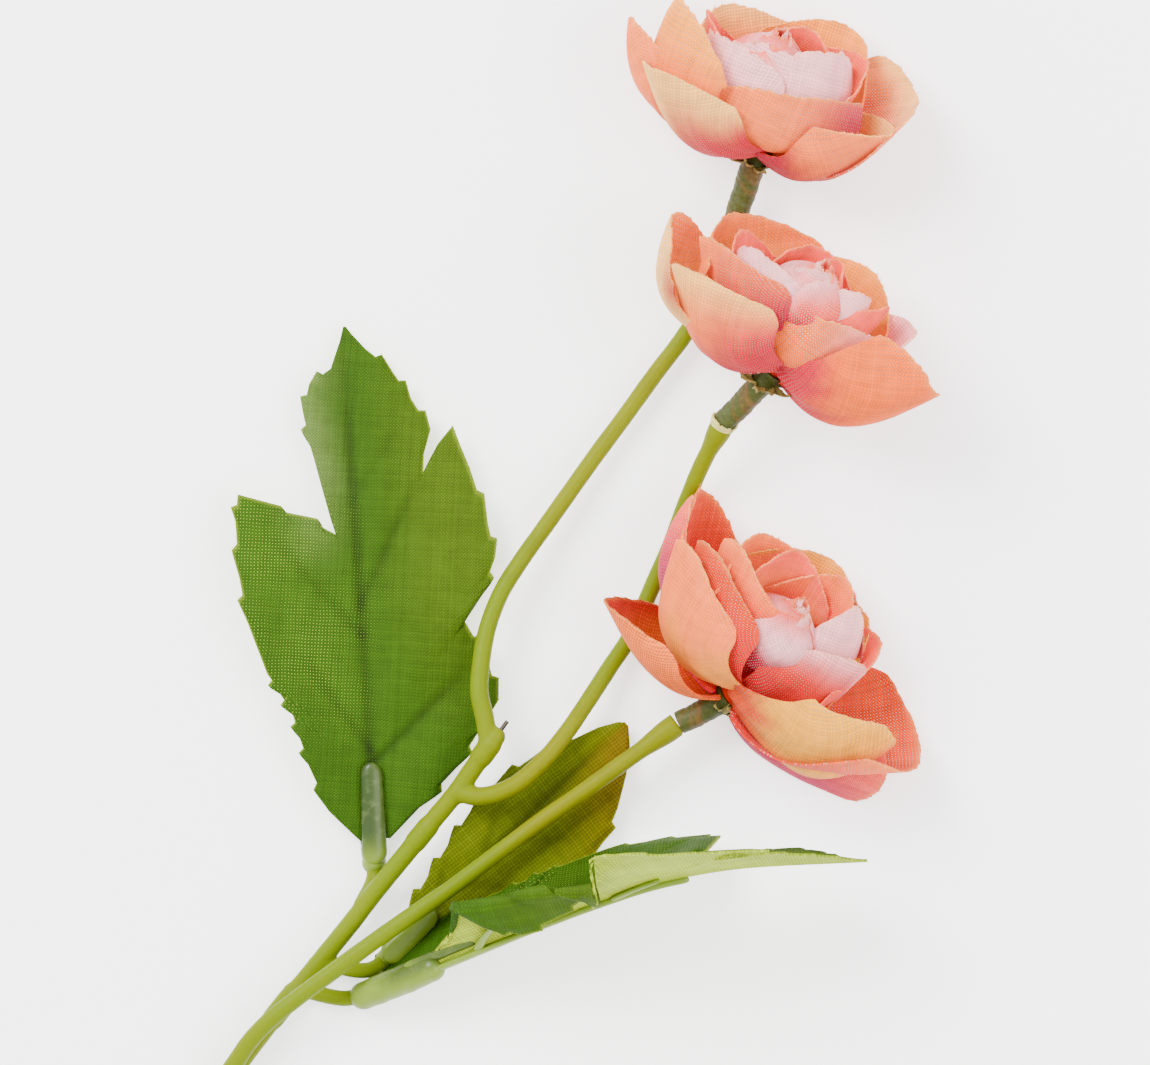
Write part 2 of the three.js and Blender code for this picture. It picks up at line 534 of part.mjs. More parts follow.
// The point of a leaf at x across and y along, in the die's own sizes, on the vein that starts at foot.
// The half that x lies on leaves the midrib at its lean, and the fold turns its outer part over.
function leafPoint(leaf, x, y, foot = y) {
  const curve = new THREE.CatmullRomCurve3(leaf.rib.map(vector), false, 'centripetal');
  const tip = leaf.outline[leaf.outline.length - 1].foot;
  const part = y / tip;
  const clamped = THREE.MathUtils.clamp(part, 0, 1);
  const forward = curve.getTangentAt(clamped);
  const point = curve.getPointAt(clamped).addScaledVector(forward, (part - clamped) * tip * leaf.scale);
  const up = vector(leaf.top);
  up.addScaledVector(forward, -up.dot(forward)).normalize();
  const right = forward.clone().cross(up);
  const [atBase, atTip] = x < 0 ? leaf.left : leaf.right;
  const gained = THREE.MathUtils.smoothstep(foot / tip, 0, LEAN_RUN);
  const lean = radians(THREE.MathUtils.lerp(atBase, atTip, gained));
  const inside = THREE.MathUtils.smoothstep(y, FOLD.from, FOLD.from + FOLD.soft)
    - THREE.MathUtils.smoothstep(y, FOLD.to - FOLD.soft, FOLD.to);
  const step = (Math.abs(x) * leaf.scale) / FOLD_STEPS;
  let across = 0;
  let raised = 0;
  for (let k = 0; k < FOLD_STEPS; k += 1) {
    const gone = (k + 0.5) * step;
    const over = x > 0 ? THREE.MathUtils.smoothstep(gone, FOLD.start, FOLD.start + FOLD.run) * inside : 0;
    const angle = lean - radians(leaf.fold) * over;
    across += step * Math.cos(angle);
    raised += step * Math.sin(angle);
  }
  return point.addScaledVector(right, Math.sign(x) * across).addScaledVector(up, raised);
}

// Rows of the outline with the teeth put in: a tooth is a point pushed out and a step back in.
function leafRows(outline) {
  const rows = [];
  outline.forEach((row, k) => {
    rows.push(row);
    if (row.teeth) {
      const next = outline[k + 1];
      rows.push(between(row, next, 0.5, TOOTH_DEPTH), between(row, next, 0.6, 0));
    }
  });
  return rows;
}

function between(row, next, part, push) {
  const edge = (one, two, sign) => {
    const span = [two[0] - one[0], two[1] - one[1]];
    const size = Math.hypot(...span);
    return [
      one[0] + part * span[0] + (sign * push * span[1]) / size,
      one[1] + part * span[1] - (sign * push * span[0]) / size,
    ];
  };
  return {
    foot: THREE.MathUtils.lerp(row.foot, next.foot, part),
    left: edge(row.left, next.left, -1),
    right: edge(row.right, next.right, 1),
  };
}

function leafGrid(leaf) {
  return leafRows(leaf.outline).map((row) => {
    const line = [];
    for (const t of [...leaf.leftParts].reverse()) {
      line.push([row.left[0] * t, row.foot + (row.left[1] - row.foot) * t]);
    }
    line.push([0, row.foot]);
    for (const t of leaf.rightParts) {
      line.push([row.right[0] * t, row.foot + (row.right[1] - row.foot) * t]);
    }
    return line.map(([x, y]) => leafPoint(leaf, x, y, row.foot));
  });
}

// A moulded strip that follows the midrib, on the leaf's upper face (face 1) or under face (face -1).
function stripSolid(leaf, strip, face) {
  const tip = leaf.outline[leaf.outline.length - 1].foot;
  const grid = [];
  for (let i = 0; i <= strip.cells; i += 1) {
    const part = i / strip.cells;
    const half = THREE.MathUtils.lerp(strip.widths[0], strip.widths[1], part) / 2;
    const along = THREE.MathUtils.lerp(strip.start, strip.share * tip, part);
    grid.push([-half, 0, half].map((reach) => leafPoint(leaf, reach, along)));
  }
  return bladeSolid(grid, strip.thickness, -face * (FABRIC / 2 + CLEARANCE + strip.thickness / 2));
}

// A moulded side rib under the leaf: it runs along a vein of the outline's table, from its foot on the
// midrib, for the given share of the grid's first column. side: -1 left, 1 right.
function sideRib(leaf, grid, foot, side, share) {
  const middle = leaf.leftParts.length;
  const k = leafRows(leaf.outline).findIndex((row) => row.foot >= foot);
  const place = (row, part) => row[middle].clone().lerp(row[middle + side], part);
  const ribGrid = [];
  for (let i = 0; i <= SIDE_RIB.cells; i += 1) {
    const part = (share * i) / SIDE_RIB.cells;
    const half = THREE.MathUtils.lerp(SIDE_RIB.widths[0], SIDE_RIB.widths[1], i / SIDE_RIB.cells) / 2;
    const centre = place(grid[k], part);
    const beside = (row) => centre.clone().add(place(row, part).sub(centre).setLength(half));
    const line = [beside(grid[k - 1]), centre, beside(grid[k + 1])];
    ribGrid.push(side < 0 ? line : line.reverse());
  }
  return bladeSolid(ribGrid, SIDE_RIB.thickness, FABRIC / 2 + CLEARANCE + SIDE_RIB.thickness / 2);
}

function addLeaf(leaf) {
  const grid = leafGrid(leaf);
  addNode(`${leaf.name}_blade`, aboveTable(bladeSolid(grid, FABRIC)), COLOURS.leaf);
  const [length, radius] = leaf.socket;
  const start = leafPoint(leaf, 0, -(length + SOCKET_GAP.end) / leaf.scale).toArray();
  const end = leafPoint(leaf, 0, -SOCKET_GAP.base / leaf.scale).toArray();
  const tip = leaf.outline[leaf.outline.length - 1].foot;
  const pieces = [
    rodSolid([start, end], radius, ROD_SIDES.socket, 1),
    stripSolid(leaf, TONGUE, 1),
    stripSolid(leaf, SPINE, -1),
  ];
  for (const [side, first] of [[-1, leaf.leftParts[leaf.leftParts.length - 1]], [1, leaf.rightParts[0]]]) {
    for (const foot of SIDE_RIB.feet) {
      pieces.push(sideRib(leaf, grid, foot * tip, side, Math.min(SIDE_RIB.share / first, 1)));
    }
  }
  addNode(`${leaf.name}_holder`, aboveTable(fuse(pieces)), COLOURS.holder);
}

// Stem

function addStem() {
  const rods = [rodSolid(MAIN_ROUTE, STEM_RADIUS, ROD_SIDES.main, MAIN_STEPS)];
  for (const { route, steps } of BRANCHES) {
    rods.push(rodSolid(route, BRANCH_RADIUS, ROD_SIDES.branch, steps));
    const end = route[route.length - 1];
    const inward = vector(route[route.length - 2]).sub(vector(end)).setLength(BRANCH_SOCKET.length);
    const foot = inward.add(vector(end)).toArray();
    rods.push(rodSolid([foot, end], BRANCH_RADIUS + BRANCH_SOCKET.wall, ROD_SIDES.branch, 1));
  }
  for (const leaf of LEAVES) {
    const back = leaf.socket[0] + SOCKET_GAP.end + CLEARANCE;
    const end = leafPoint(leaf, 0, -back / leaf.scale).toArray();
    const near = leafPoint(leaf, 0, -(back + PEG.straight) / leaf.scale).toArray();
    rods.push(rodSolid([leaf.peg, near, end], PEG.radius, PEG.sides, PEG.steps));
  }
  const curve = new THREE.CatmullRomCurve3(MAIN_ROUTE.map(vector), false, 'centripetal');
  const reach = curve.getLength();
  for (const collar of COLLARS) {
    const half = collar.length / 2 / reach;
    const parts = [collar.at - half, Math.min(collar.at + half, 1)];
    const ends = parts.map((part) => curve.getPointAt(part).toArray());
    rods.push(rodSolid(ends, collar.radius, ROD_SIDES.main, 1));
  }
  const past = (end, reachOut) => {
    const away = curve.getTangentAt(end).multiplyScalar(reachOut);
    return curve.getPointAt(end).add(away).toArray();
  };
  const boreRoute = [past(0, -BORE_PAST), ...MAIN_ROUTE, past(1, BORE_PAST)];
  const bore = rodSolid(boreRoute, BORE_RADIUS, ROD_SIDES.bore, MAIN_STEPS);
  addNode('main_stem', aboveTable(cut(fuse(rods), [bore])), COLOURS.stem);
  const wireRoute = [past(0, WIRE_SHORT), ...MAIN_ROUTE.slice(1), past(1, WIRE_BARE)];
  addNode('stem_wire', rodSolid(wireRoute, WIRE_RADIUS, ROD_SIDES.bore, MAIN_STEPS), COLOURS.wire);
}

addStem();
BLOOMS.forEach((bloom, k) => {
  addBloom(bloom);
  addCalyx(bloom, k + 1, BRANCHES[k].route);
});
LEAVES.forEach(addLeaf);

export default group;
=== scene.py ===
"""A lying spray of three fabric ranunculus blooms and three fabric leaves on one moulded stem.

The tables are in millimetres in the plan of the lying spray: +X to the right of the picture, +Y up
it, +Z up from the table. plan() turns them into the frame's metres.
"""

import math

import bpy
import numpy as np
from bpy.props import FloatProperty, FloatVectorProperty, IntProperty, PointerProperty
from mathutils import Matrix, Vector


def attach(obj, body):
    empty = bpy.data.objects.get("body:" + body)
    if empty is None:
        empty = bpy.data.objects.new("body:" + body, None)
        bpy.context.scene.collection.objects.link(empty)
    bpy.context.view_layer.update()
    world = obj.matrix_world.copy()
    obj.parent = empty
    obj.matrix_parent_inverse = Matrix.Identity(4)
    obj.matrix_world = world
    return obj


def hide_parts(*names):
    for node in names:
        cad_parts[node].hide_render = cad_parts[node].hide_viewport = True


bl_info = {
    "name": "Fabric Ranunculus Spray",
    "version": (1, 0, 0),
    "blender": (4, 5, 0),
    "location": "View3D > Sidebar > Spray",
    "description": "Petals, buds, leaves, holders and stem of a lying fabric ranunculus spray",
    "category": "Object",
}

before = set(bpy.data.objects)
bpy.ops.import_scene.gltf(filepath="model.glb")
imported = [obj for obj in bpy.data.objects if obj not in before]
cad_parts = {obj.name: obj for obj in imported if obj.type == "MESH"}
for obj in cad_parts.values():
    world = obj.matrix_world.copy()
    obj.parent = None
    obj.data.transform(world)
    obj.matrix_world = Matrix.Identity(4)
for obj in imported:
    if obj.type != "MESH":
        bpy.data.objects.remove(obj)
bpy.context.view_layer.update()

MM = 0.001
MIDDLE = np.array([-0.63, -1.64, 0.0]) * MM  # middle of the lying spray in the plan
UP = np.array([0.0, 0.0, 1.0])

# What a petal has where its own line doesn't say otherwise. Lengths in millimetres, angles in degrees.
# tip: where its tip is from the bloom's root. base, root_radius: where its own root is, along the axis
# and off it. face: the angle round the axis that its outside looks to.
# bulge, skew: how far it bows out, and how much more of that is near its root. sweep: how far its
# middle goes aside. cup, pinch: how far its edges turn in, and how sharp its middle crease is.
# root_width: the root's share of the width. drop, round: how far the rim falls away at the edges, and
# how suddenly. slant: how much longer the right edge is than the left one, as a share.
# ruffle, roll: waves towards the rim, and how far the rim turns in.
# dyes: root, middle and rim of the outside. lining: the same of the inside.
# reach: how far the root's dye runs. stain: u, v, radius and dye of a stained place.
# ragged: depth of the torn rim. fray: loose threads in a centimetre of width. grain: angle of the weave.
# open: how much shows between the threads, painted light above 0 and painted shade below.
PETAL = dict(
    width=24, bulge=5, skew=0.4, cup=55, pinch=0.25, drop=0.36, round=1.9, base=0, root_radius=1.2,
    root_width=0.3, ruffle=0.35, sweep=0, slant=0, face=None, roll=0, ragged=0.25, fray=4, open=0.4,
    reach=0.5, grain=8, dyes="orange peach peach", lining="orange apricot cream", stain=None,
)
# root: where a bloom sits on its branch. axis: the way that it faces. sepals: their length as a share.
# bud: its radius and height, how far it stands aside, and the angle that its first petal starts at.
BLOOMS = [
    dict(
        name="bloom_1", root=(46.3, 90.7, 10), axis=(5.9, 16.3, 11),
        outer=[
            dict(tip=(-23.4, 24.6, 4), bulge=8, skew=-0.4, cup=50, face=-52, grain=-20, drop=0.3,
                 dyes="apricot peach peach"),
            dict(tip=(-20.7, 15.7, 16), width=30, bulge=6.5, cup=60, face=-48, reach=0.9, grain=12,
                 root_width=0.62, dyes="rose cream cream", stain=(0.3, 0.5, 0.5, "rose")),
            dict(tip=(24.4, 2, 14), width=27, bulge=6.2, cup=70, face=62, reach=0.8, grain=30, drop=0.24,
                 round=2.6, root_width=0.6, sweep=0.8, dyes="crimson peach peach"),
            dict(tip=(29.6, 9.4, 2.5), width=29, bulge=4, cup=26, drop=0.1, round=3.5, reach=1.1, open=1,
                 fray=8, grain=-30, lining="rose peach cream"),
            dict(tip=(17.4, 22.8, -4), width=31, bulge=4, cup=50, drop=0.25, lining="orange sand sand"),
            dict(tip=(-5.5, 27.2, -4), width=36, bulge=4, cup=50, drop=0.25, fray=8),
            dict(tip=(-14.8, 28, 9), width=35, bulge=13.6, skew=0.1, cup=58, drop=0.2, round=2.2,
                 face=-50, base=3, sweep=-1, pinch=0.08, reach=0.9, dyes="orange apricot sand"),
            dict(tip=(4.8, 10, 18.4), width=34, bulge=6, cup=34, drop=0.1, round=3, pinch=0.08, face=8,
                 slant=0.09, base=4.6, root_width=0.7, reach=0.6, dyes="apricot peach peach",
                 stain=(0.8, 0.95, 0.5, "magenta")),
        ],
        inner=[
            dict(tip=(20.4, 16.4, 4), width=22, bulge=4, drop=0.22, base=5, dyes="magenta pink pink",
                 lining="orange apricot pink"),
            dict(tip=(-7.8, 21.6, 13.2), width=30, bulge=6, cup=60, drop=0.2, face=-40, base=6,
                 root_radius=3, ragged=0.6, reach=0.3, dyes="pink blush blush", lining="pink blush blush",
                 open=0.7),
            dict(tip=(3.4, 18.6, 16), width=34, bulge=4.8, cup=64, drop=0.14, face=0, base=6,
                 root_radius=3, ragged=0.8, reach=0.3, dyes="pink blush blush", lining="pink blush blush",
                 open=0.7),
            dict(tip=(13.8, 18, 13.4), width=32, bulge=6.2, cup=68, drop=0.16, face=38, base=6,
                 root_radius=3, ragged=0.6, reach=0.3, dyes="pink blush blush", lining="pink blush blush",
                 open=0.7),
            dict(tip=(9.4, 22.4, 7), bulge=4, cup=60, drop=0.25, base=6, fray=10, dyes="rose pink pink",
                 lining="red orange pink"),
            dict(tip=(-9.8, 25.8, 8), width=20, bulge=4, cup=60, face=-80, base=6,
                 dyes="orange pink pink", lining="orange pink pink"),
        ],
        bud=dict(count=7, radius=8, height=27, aside=-3.2, start=-60, dyes="coral pink blush"),
        sepals=1.0,
    ),
    dict(
        name="bloom_2", root=(48.8, 49.6, 18), axis=(8.9, 15.7, 13),
        outer=[
            dict(tip=(-17.8, 29.2, 1), width=30, bulge=9, skew=-0.6, cup=50, drop=0.2, round=2.5,
                 face=-98, open=1, fray=8, grain=-15, reach=0.45, dyes="apricot cream cream",
                 lining="peach sand peach", stain=(0.85, 1.0, 0.4, "red")),
            dict(tip=(-8.4, 29.6, -3), width=37, cup=50, drop=0.2, roll=1.5, reach=0.9,
                 dyes="orange apricot apricot", lining="peach sand apricot"),
            dict(tip=(19, 18.4, -4), width=35, cup=50, drop=0.25, fray=8, lining="apricot sand sand"),
            dict(tip=(-17.8, 19.8, 12), width=35, bulge=6.5, cup=56, face=-38, reach=0.8, grain=25,
                 sweep=1.2, root_width=0.5, dyes="rose peach cream", stain=(0.35, 0.9, 0.6, "rose")),
            dict(tip=(30.3, -4, 10), width=31, bulge=6.8, cup=60, face=35, sweep=1.4, reach=0.6, grain=30,
                 drop=0.16, round=3, root_width=0.62, dyes="rose apricot apricot"),
            dict(tip=(26.4, 7.8, 4), cup=50, dyes="coral pink blush", lining="coral pink blush"),
            dict(tip=(-13, 25, 10), width=33, face=-42, base=3, reach=0.9, grain=15, sweep=1,
                 dyes="crimson peach peach", stain=(0.5, 0.9, 0.65, "crimson")),
            dict(tip=(11.6, 8.8, 16), width=26, bulge=4.5, cup=50, drop=0.12, round=2.8, pinch=0.1,
                 face=18, slant=0.05, base=4, root_width=0.6, open=0.8, dyes="orange apricot peach",
                 stain=(0.95, 0.9, 0.6, "blush")),
            dict(tip=(-6.2, 26.2, 8), width=21, bulge=4, base=4, dyes="coral pink pink",
                 lining="coral pink pink"),
            dict(tip=(8, 23.5, 5), width=26, bulge=4, drop=0.25, base=4, fray=10, dyes="coral pink pink",
                 lining="red coral pink"),
        ],
        inner=[
            dict(tip=(-4.3, 22.9, 13.5), width=32, cup=70, face=-28, base=6, open=1, grain=-25,
                 dyes="pink blush blush", lining="rose pink blush"),
            dict(tip=(8.4, 18.6, 15.2), cup=70, face=5, base=6, open=1, grain=30, dyes="pink blush blush",
                 lining="rose pink blush"),
            dict(tip=(17, 14.3, 12.4), width=23, bulge=4, cup=65, face=32, base=6, open=0.8,
                 dyes="magenta blush blush", lining="rose pink blush"),
            dict(tip=(21.8, 11.6, 8), width=20, bulge=4, cup=60, face=55, base=6, dyes="rose pink pink",
                 lining="rose pink pink"),
            dict(tip=(13, 20, 9), width=22, bulge=4, cup=65, face=120, base=6, dyes="magenta pink pink",
                 lining="red coral pink"),
        ],
        bud=dict(count=8, radius=7.6, height=28, aside=-1, start=-50, dyes="rose blush pink"),
        sepals=1.15,
    ),
    dict(
        name="bloom_3", root=(40.5, -10.7, 10.5), axis=(13.5, 15.9, 13),
        outer=[
            dict(tip=(-22.6, 18.2, 4), width=30, cup=58, face=-76, open=-1, grain=40, fray=6,
                 dyes="apricot peach peach", lining="orange rust red", reach=0.8),
            dict(tip=(-4.6, 39, 0), width=31, bulge=7, cup=60, face=-110, sweep=2, fray=14, ragged=0.5,
                 dyes="magenta pink peach", lining="flame flame orange"),
            dict(tip=(-6.2, 37.4, 3), width=16, bulge=8, skew=-0.6, cup=40, face=-32, fray=8, open=0.6,
                 dyes="coral magenta pink", drop=0.5, lining="flame orange butter"),
            dict(tip=(31.2, -7.4, 9.4), width=33, bulge=10, skew=-0.2, cup=50, drop=0.28, round=2.8,
                 face=44, sweep=-0.6, grain=20, root_width=0.55, dyes="orange butter butter",
                 stain=(1.0, 0.6, 0.5, "coral")),
            dict(tip=(36, -11.6, -2), width=38, cup=50, drop=0.2, open=0.7, fray=6, reach=0.9,
                 dyes="orange coral peach", lining="flame orange orange"),
            dict(tip=(20, 25.5, -3), width=36, cup=45, drop=0.2, roll=1, fray=8,
                 dyes="orange apricot orange", lining="orange apricot butter",
                 stain=(0.95, -0.8, 0.5, "magenta")),
            dict(tip=(28, -17.6, -4), width=25, bulge=3, cup=45, drop=0.14, round=2.8, pinch=0, face=15,
                 dyes="magenta rose pink", lining="coral rose coral", stain=(0.6, 0.6, 0.5, "magenta")),
            dict(tip=(26, 15.5, -3), width=28, cup=45, drop=0.3, fray=8, lining="orange butter butter"),
            dict(tip=(-8.3, 29.2, 14), width=32, bulge=8, cup=62, face=-48, base=2.5, grain=15,
                 sweep=-1.1, root_width=0.5, reach=0.7, dyes="sand peach peach"),
            dict(tip=(-4.1, 28.9, 14), width=31, bulge=6, cup=60, face=-44, base=3.5, grain=-10,
                 reach=0.9, dyes="flame flame orange"),
            dict(tip=(7, 30.5, 5), width=34, cup=50, drop=0.2, base=4, dyes="coral peach peach",
                 lining="coral peach peach"),
            dict(tip=(28.7, 10.7, 1), width=26, cup=50, base=3, dyes="coral pink pink",
                 lining="coral coral pink"),
            dict(tip=(25.5, 5.8, 8.6), width=30, bulge=6, cup=56, face=42, base=2.5, reach=1.1, grain=-20,
                 dyes="flame coral blush", stain=(0.2, -0.6, 0.5, "red")),
        ],
        inner=[
            dict(tip=(0.8, 29.4, 13.5), width=26, bulge=4.5, cup=62, face=-36, base=6, reach=0.9,
                 dyes="red coral peach"),
            dict(tip=(23.7, 16.8, 10.5), width=19, bulge=4.5, cup=50, face=60, base=8, root_radius=11,
                 open=0.6, dyes="magenta blush blush", lining="rose pink blush"),
            dict(tip=(22.6, 21.5, 5), width=23, bulge=4, base=7, dyes="coral peach pink",
                 lining="flame coral peach"),
            dict(tip=(12.8, 27.4, 7), width=25, bulge=4, drop=0.25, base=7, dyes="coral peach pink",
                 lining="coral peach pink"),
        ],
        bud=dict(count=9, radius=8.4, height=27.4, aside=-0.6, start=-80, dyes="crimson coral blush"),
        sepals=0.45,
    ),
]

# Stem routes, bottom to top.
MAIN_ROUTE = [
    (-79.2, -120.3, 1.7), (-61.2, -94.4, 1.8), (-50, -78.8, 2.1), (-42.6, -69, 2.6), (-35.6, -60.5, 3.5),
    (-28.7, -52, 4.7), (-24.4, -46.4, 5.6), (-19.6, -40.5, 6.7), (-14.5, -34.2, 7.9), (-9.3, -27.9, 9.1),
    (-5.2, -22, 10.3), (-2.2, -17.9, 11.2),
]
BRANCH_A = [
    (-3.6, -19.4, 10.9), (-4.3, -14.6, 10.8), (-5.3, -9.8, 10.6), (-5, -4.4, 10), (-3.8, 2.2, 9),
    (-1.2, 8.9, 7.8), (2.2, 14.4, 6.8), (6.8, 20.9, 5.8), (11.2, 27.1, 5), (16.4, 34.4, 4.4),
    (21.6, 41.4, 4), (27, 48.9, 4), (33.6, 57.8, 4.2), (38.3, 66.6, 5), (42, 77.6, 6.6),
]
BRANCH_B = [
    (-10.2, -28, 9.1), (-5.2, -29, 9.8), (0.4, -27.4, 9.8), (6.1, -22.8, 9.2), (10.5, -17.6, 8.2),
    (14.1, -12.4, 6.8), (19.2, -4.6, 4.6), (22.4, 0.2, 3.4), (24.8, 5.4, 2.8), (27.2, 10.9, 2.7),
    (29.6, 16.3, 3.2), (33.3, 26.2, 5.4), (35.6, 31.8, 7.8), (37.9, 36.4, 10.6), (39.8, 40, 13.2),
]
BRANCH_C = [
    (-58.6, -90.6, 2.2), (-54.6, -84.4, 4.2), (-50.7, -78.6, 6.4), (-47.7, -74.2, 7.8),
    (-44.4, -70.7, 8.7), (-39.1, -66.4, 9.4), (-32.4, -61.4, 9.8), (-22.2, -54, 9.8),
    (-10.7, -46.1, 9.6), (-1.5, -39.2, 9.4), (6.2, -33.5, 9.2), (15.2, -27.2, 9), (25.9, -19.5, 8.6),
    (31.4, -15.6, 8.6),
]
BRANCHES = [BRANCH_A, BRANCH_B, BRANCH_C]
# Where the main stem is thicker: middle along it as a share, length and radius in millimetres.
COLLARS = [(0.5, 9, 2.1), (0.82, 6, 2.05), (0.975, 5, 2.15)]

# Leaf outlines: the foot of a side vein on the midrib, then the edge to the left and to the right that
# the vein runs out to, and whether a tooth follows.
LOBED_OUTLINE = [
    (0, (-2.4, 0.2), (3.1, 0.6), False), (2, (-8.1, 6.1), (8.7, 6.1), True),
    (5, (-11.7, 15), (15.8, 13.1), True), (8, (-13, 20), (20.3, 19.6), True),
    (11, (-14.2, 25), (24.3, 25), True), (14, (-16.4, 29), (22.7, 32.4), True),
    (18, (-18.4, 32.7), (18.9, 39.8), False), (22, (-21.4, 42.6), (22.5, 44.6), True),
    (26, (-22.2, 50.5), (25.5, 51.2), True), (30, (-22.2, 61.2), (24.6, 57.5), True),
    (34, (-21.4, 66), (22, 68), False), (36, (-13.6, 63.4), (20.4, 72.8), False),
    (37, (-12.8, 62.2), (19.3, 76.4), False), (40, (-7, 60.6), (16.7, 73.4), False),
    (41.5, (-6.2, 58.9), (15.6, 71.5), False), (46, (-3.7, 57.4), (13.2, 67.3), False),
    (53, (-5.7, 66.8), (13.6, 71.4), False), (61, (-7.3, 74.2), (15.1, 75.9), True),
    (69, (-8.4, 80.5), (11.7, 82), True), (77, (-7, 85.5), (8.3, 87.5), True),
    (86, (-2.9, 88.2), (3.7, 91.6), False), (96, (0, 96), (0, 96), False),
]
PLAIN_OUTLINE = [
    (0, (-1.5, 0.2), (2, 0.4), False), (2, (-3.6, 5.9), (6, 5.5), True),
    (6, (-5.2, 12.5), (10, 12), True), (11, (-6.7, 19.2), (12.5, 18.5), True),
    (16, (-8.3, 26.5), (13.8, 25.5), True), (22, (-8.8, 34), (14.2, 33), True),
    (29, (-7.4, 42), (13, 40.1), True), (36, (-4.4, 49.9), (10.4, 46.4), False),
    (44, (-2.8, 54.5), (7, 52), False), (52, (-1, 57.8), (3.6, 56.2), False),
    (58.6, (0, 58.6), (0.8, 58.6), False),
]
TOOTH_DEPTH = 1.1
# The third leaf's outline, whose left half sweeps back past its foot.
SWEPT_OUTLINE = [
    (0, (-4.4, -13), (1.5, 2), False), (2, (-10, -13.5), (6, 11), False), (5, (-14, -3), (13, 17), True),
    *LOBED_OUTLINE[3:],
]
# Pressed side veins: foot on the midrib, end, and how deep they are as a share.
LOBED_VEINS = [
    (14, (21, 33), 1), (44, (14, 70), 0.8), (17, (-14, 39), 0.8), (38, (-19, 62), 0.7), (64, (11, 79), 0.3),
]
PLAIN_VEINS = [
    (6, (9, 14), 0.7), (16, (12.5, 27), 0.7), (27, (11, 39), 0.6), (10, (-6, 18), 0.6), (22, (-7, 33), 0.6),
]
# top: the way that the upper face looks. rib: the midrib's route. socket: length and radius.
# left and right: how far each half leans up, in degrees, at the leaf's foot and past LEAN_RUN.
# fold: how far the flap is turned over. clear: how little of the dark core, with painted shade of the leaf
# over it, shows in the holder.
LEAVES = [
    dict(
        name="leaf_1", outline=LOBED_OUTLINE, scale=1, top=(0, 0, 1), left=(10, 4), right=(-3, 4), fold=0,
        socket=(4, 2.3), clear=0.1, veins=LOBED_VEINS, open=0.9, upper="leaf_green leaf_dark",
        under="leaf_pale",
        rib=[(-25, -37.4, 3), (-25.9, -15, 4.4), (-27.4, 8, 4.8), (-29.2, 34, 3.8), (-30.4, 58.1, 1.8)],
    ),
    dict(
        name="leaf_2", outline=PLAIN_OUTLINE, scale=1, top=(0, 0, 1), left=(2, 2), right=(-6, -3), fold=0,
        socket=(4, 1.7), clear=0.8, veins=PLAIN_VEINS, open=0.2, upper="leaf_olive leaf_brown",
        under="leaf_olive",
        rib=[(-20, -56.4, 3.2), (-10, -46.5, 3.8), (1, -35.7, 4.3), (13, -23.9, 4.2), (21.7, -15.4, 3.4)],
    ),
    dict(
        name="leaf_3", outline=SWEPT_OUTLINE, scale=0.92, top=(0, 1, 0), left=(50, 17), right=(46, 9),
        fold=162, socket=(14, 2.7), clear=0.2, veins=LOBED_VEINS, open=0.5, upper="leaf_green leaf_dark",
        under="leaf_pale",
        rib=[
            (-15.5, -60.9, 10), (-7.6, -57.6, 14.5), (5.9, -52, 19), (16.5, -48, 21.5), (26.9, -44.6, 23),
            (38.9, -42.2, 24), (66.4, -40.7, 24.5),
        ],
    ),
]
LEAN_RUN = 0.36  # share of the midrib along which the lean changes
FOLD = dict(start=10.5, run=4, low=-3, high=45, soft=5)  # the turned flap of a leaf's right half
LEAF_MESH = dict(between=3, columns=34)  # rows between two outline rows, cells from midrib to edge
PRESS = dict(groove=0.3, puff=0.55, unrest=0.25, vein=0.8, midrib=0.9)  # depths, then widths, of veins
EDGE_THREADS = 150  # loose threads on each edge of a leaf
PEGS = [(-27.4, -49.6, 5), (-35.2, -60, 3.4), (-39.2, -64.8, 3)]  # where leaf pegs start in the stem
PEG_RADIUS = 1.5
# Ribs of a holder. The tongue and the spine end at a share of the leaf's length, and a side rib at a
# share of its vein. widths: at the foot and at the end. thick: how far a rib stands up.
TONGUE = dict(start=-4.2, share=0.155, widths=(4.8, 4.0), thick=2.2)
SPINE = dict(start=-3, share=0.62, widths=(3.0, 0.9), thick=1.3)
SIDE_RIB = dict(longest=11.5, share=0.45, widths=(1.9, 0.8), thick=1.0, count=4, rings=24)
RIB_OFF = 0.42  # how far the ribs are set off the middle of the cloth
RIB_RINGS = 40
RIB_SIDES = 20
SOCKET_SIDES = 24
ROUTE_POINTS = 300  # points of a midrib's route
WALK_STEPS = 40  # steps from a leaf's midrib out to a point

# A bud's petals: degrees from one to the next, degrees that the first one wraps and how many fewer the
# last one does, cells, height in millimetres and loose threads.
# open: how much painted light shows between their threads.
BUD = dict(step=141, wrap=118, fewer=30, rows=26, columns=34, tall=15, threads=14, open=0.8)
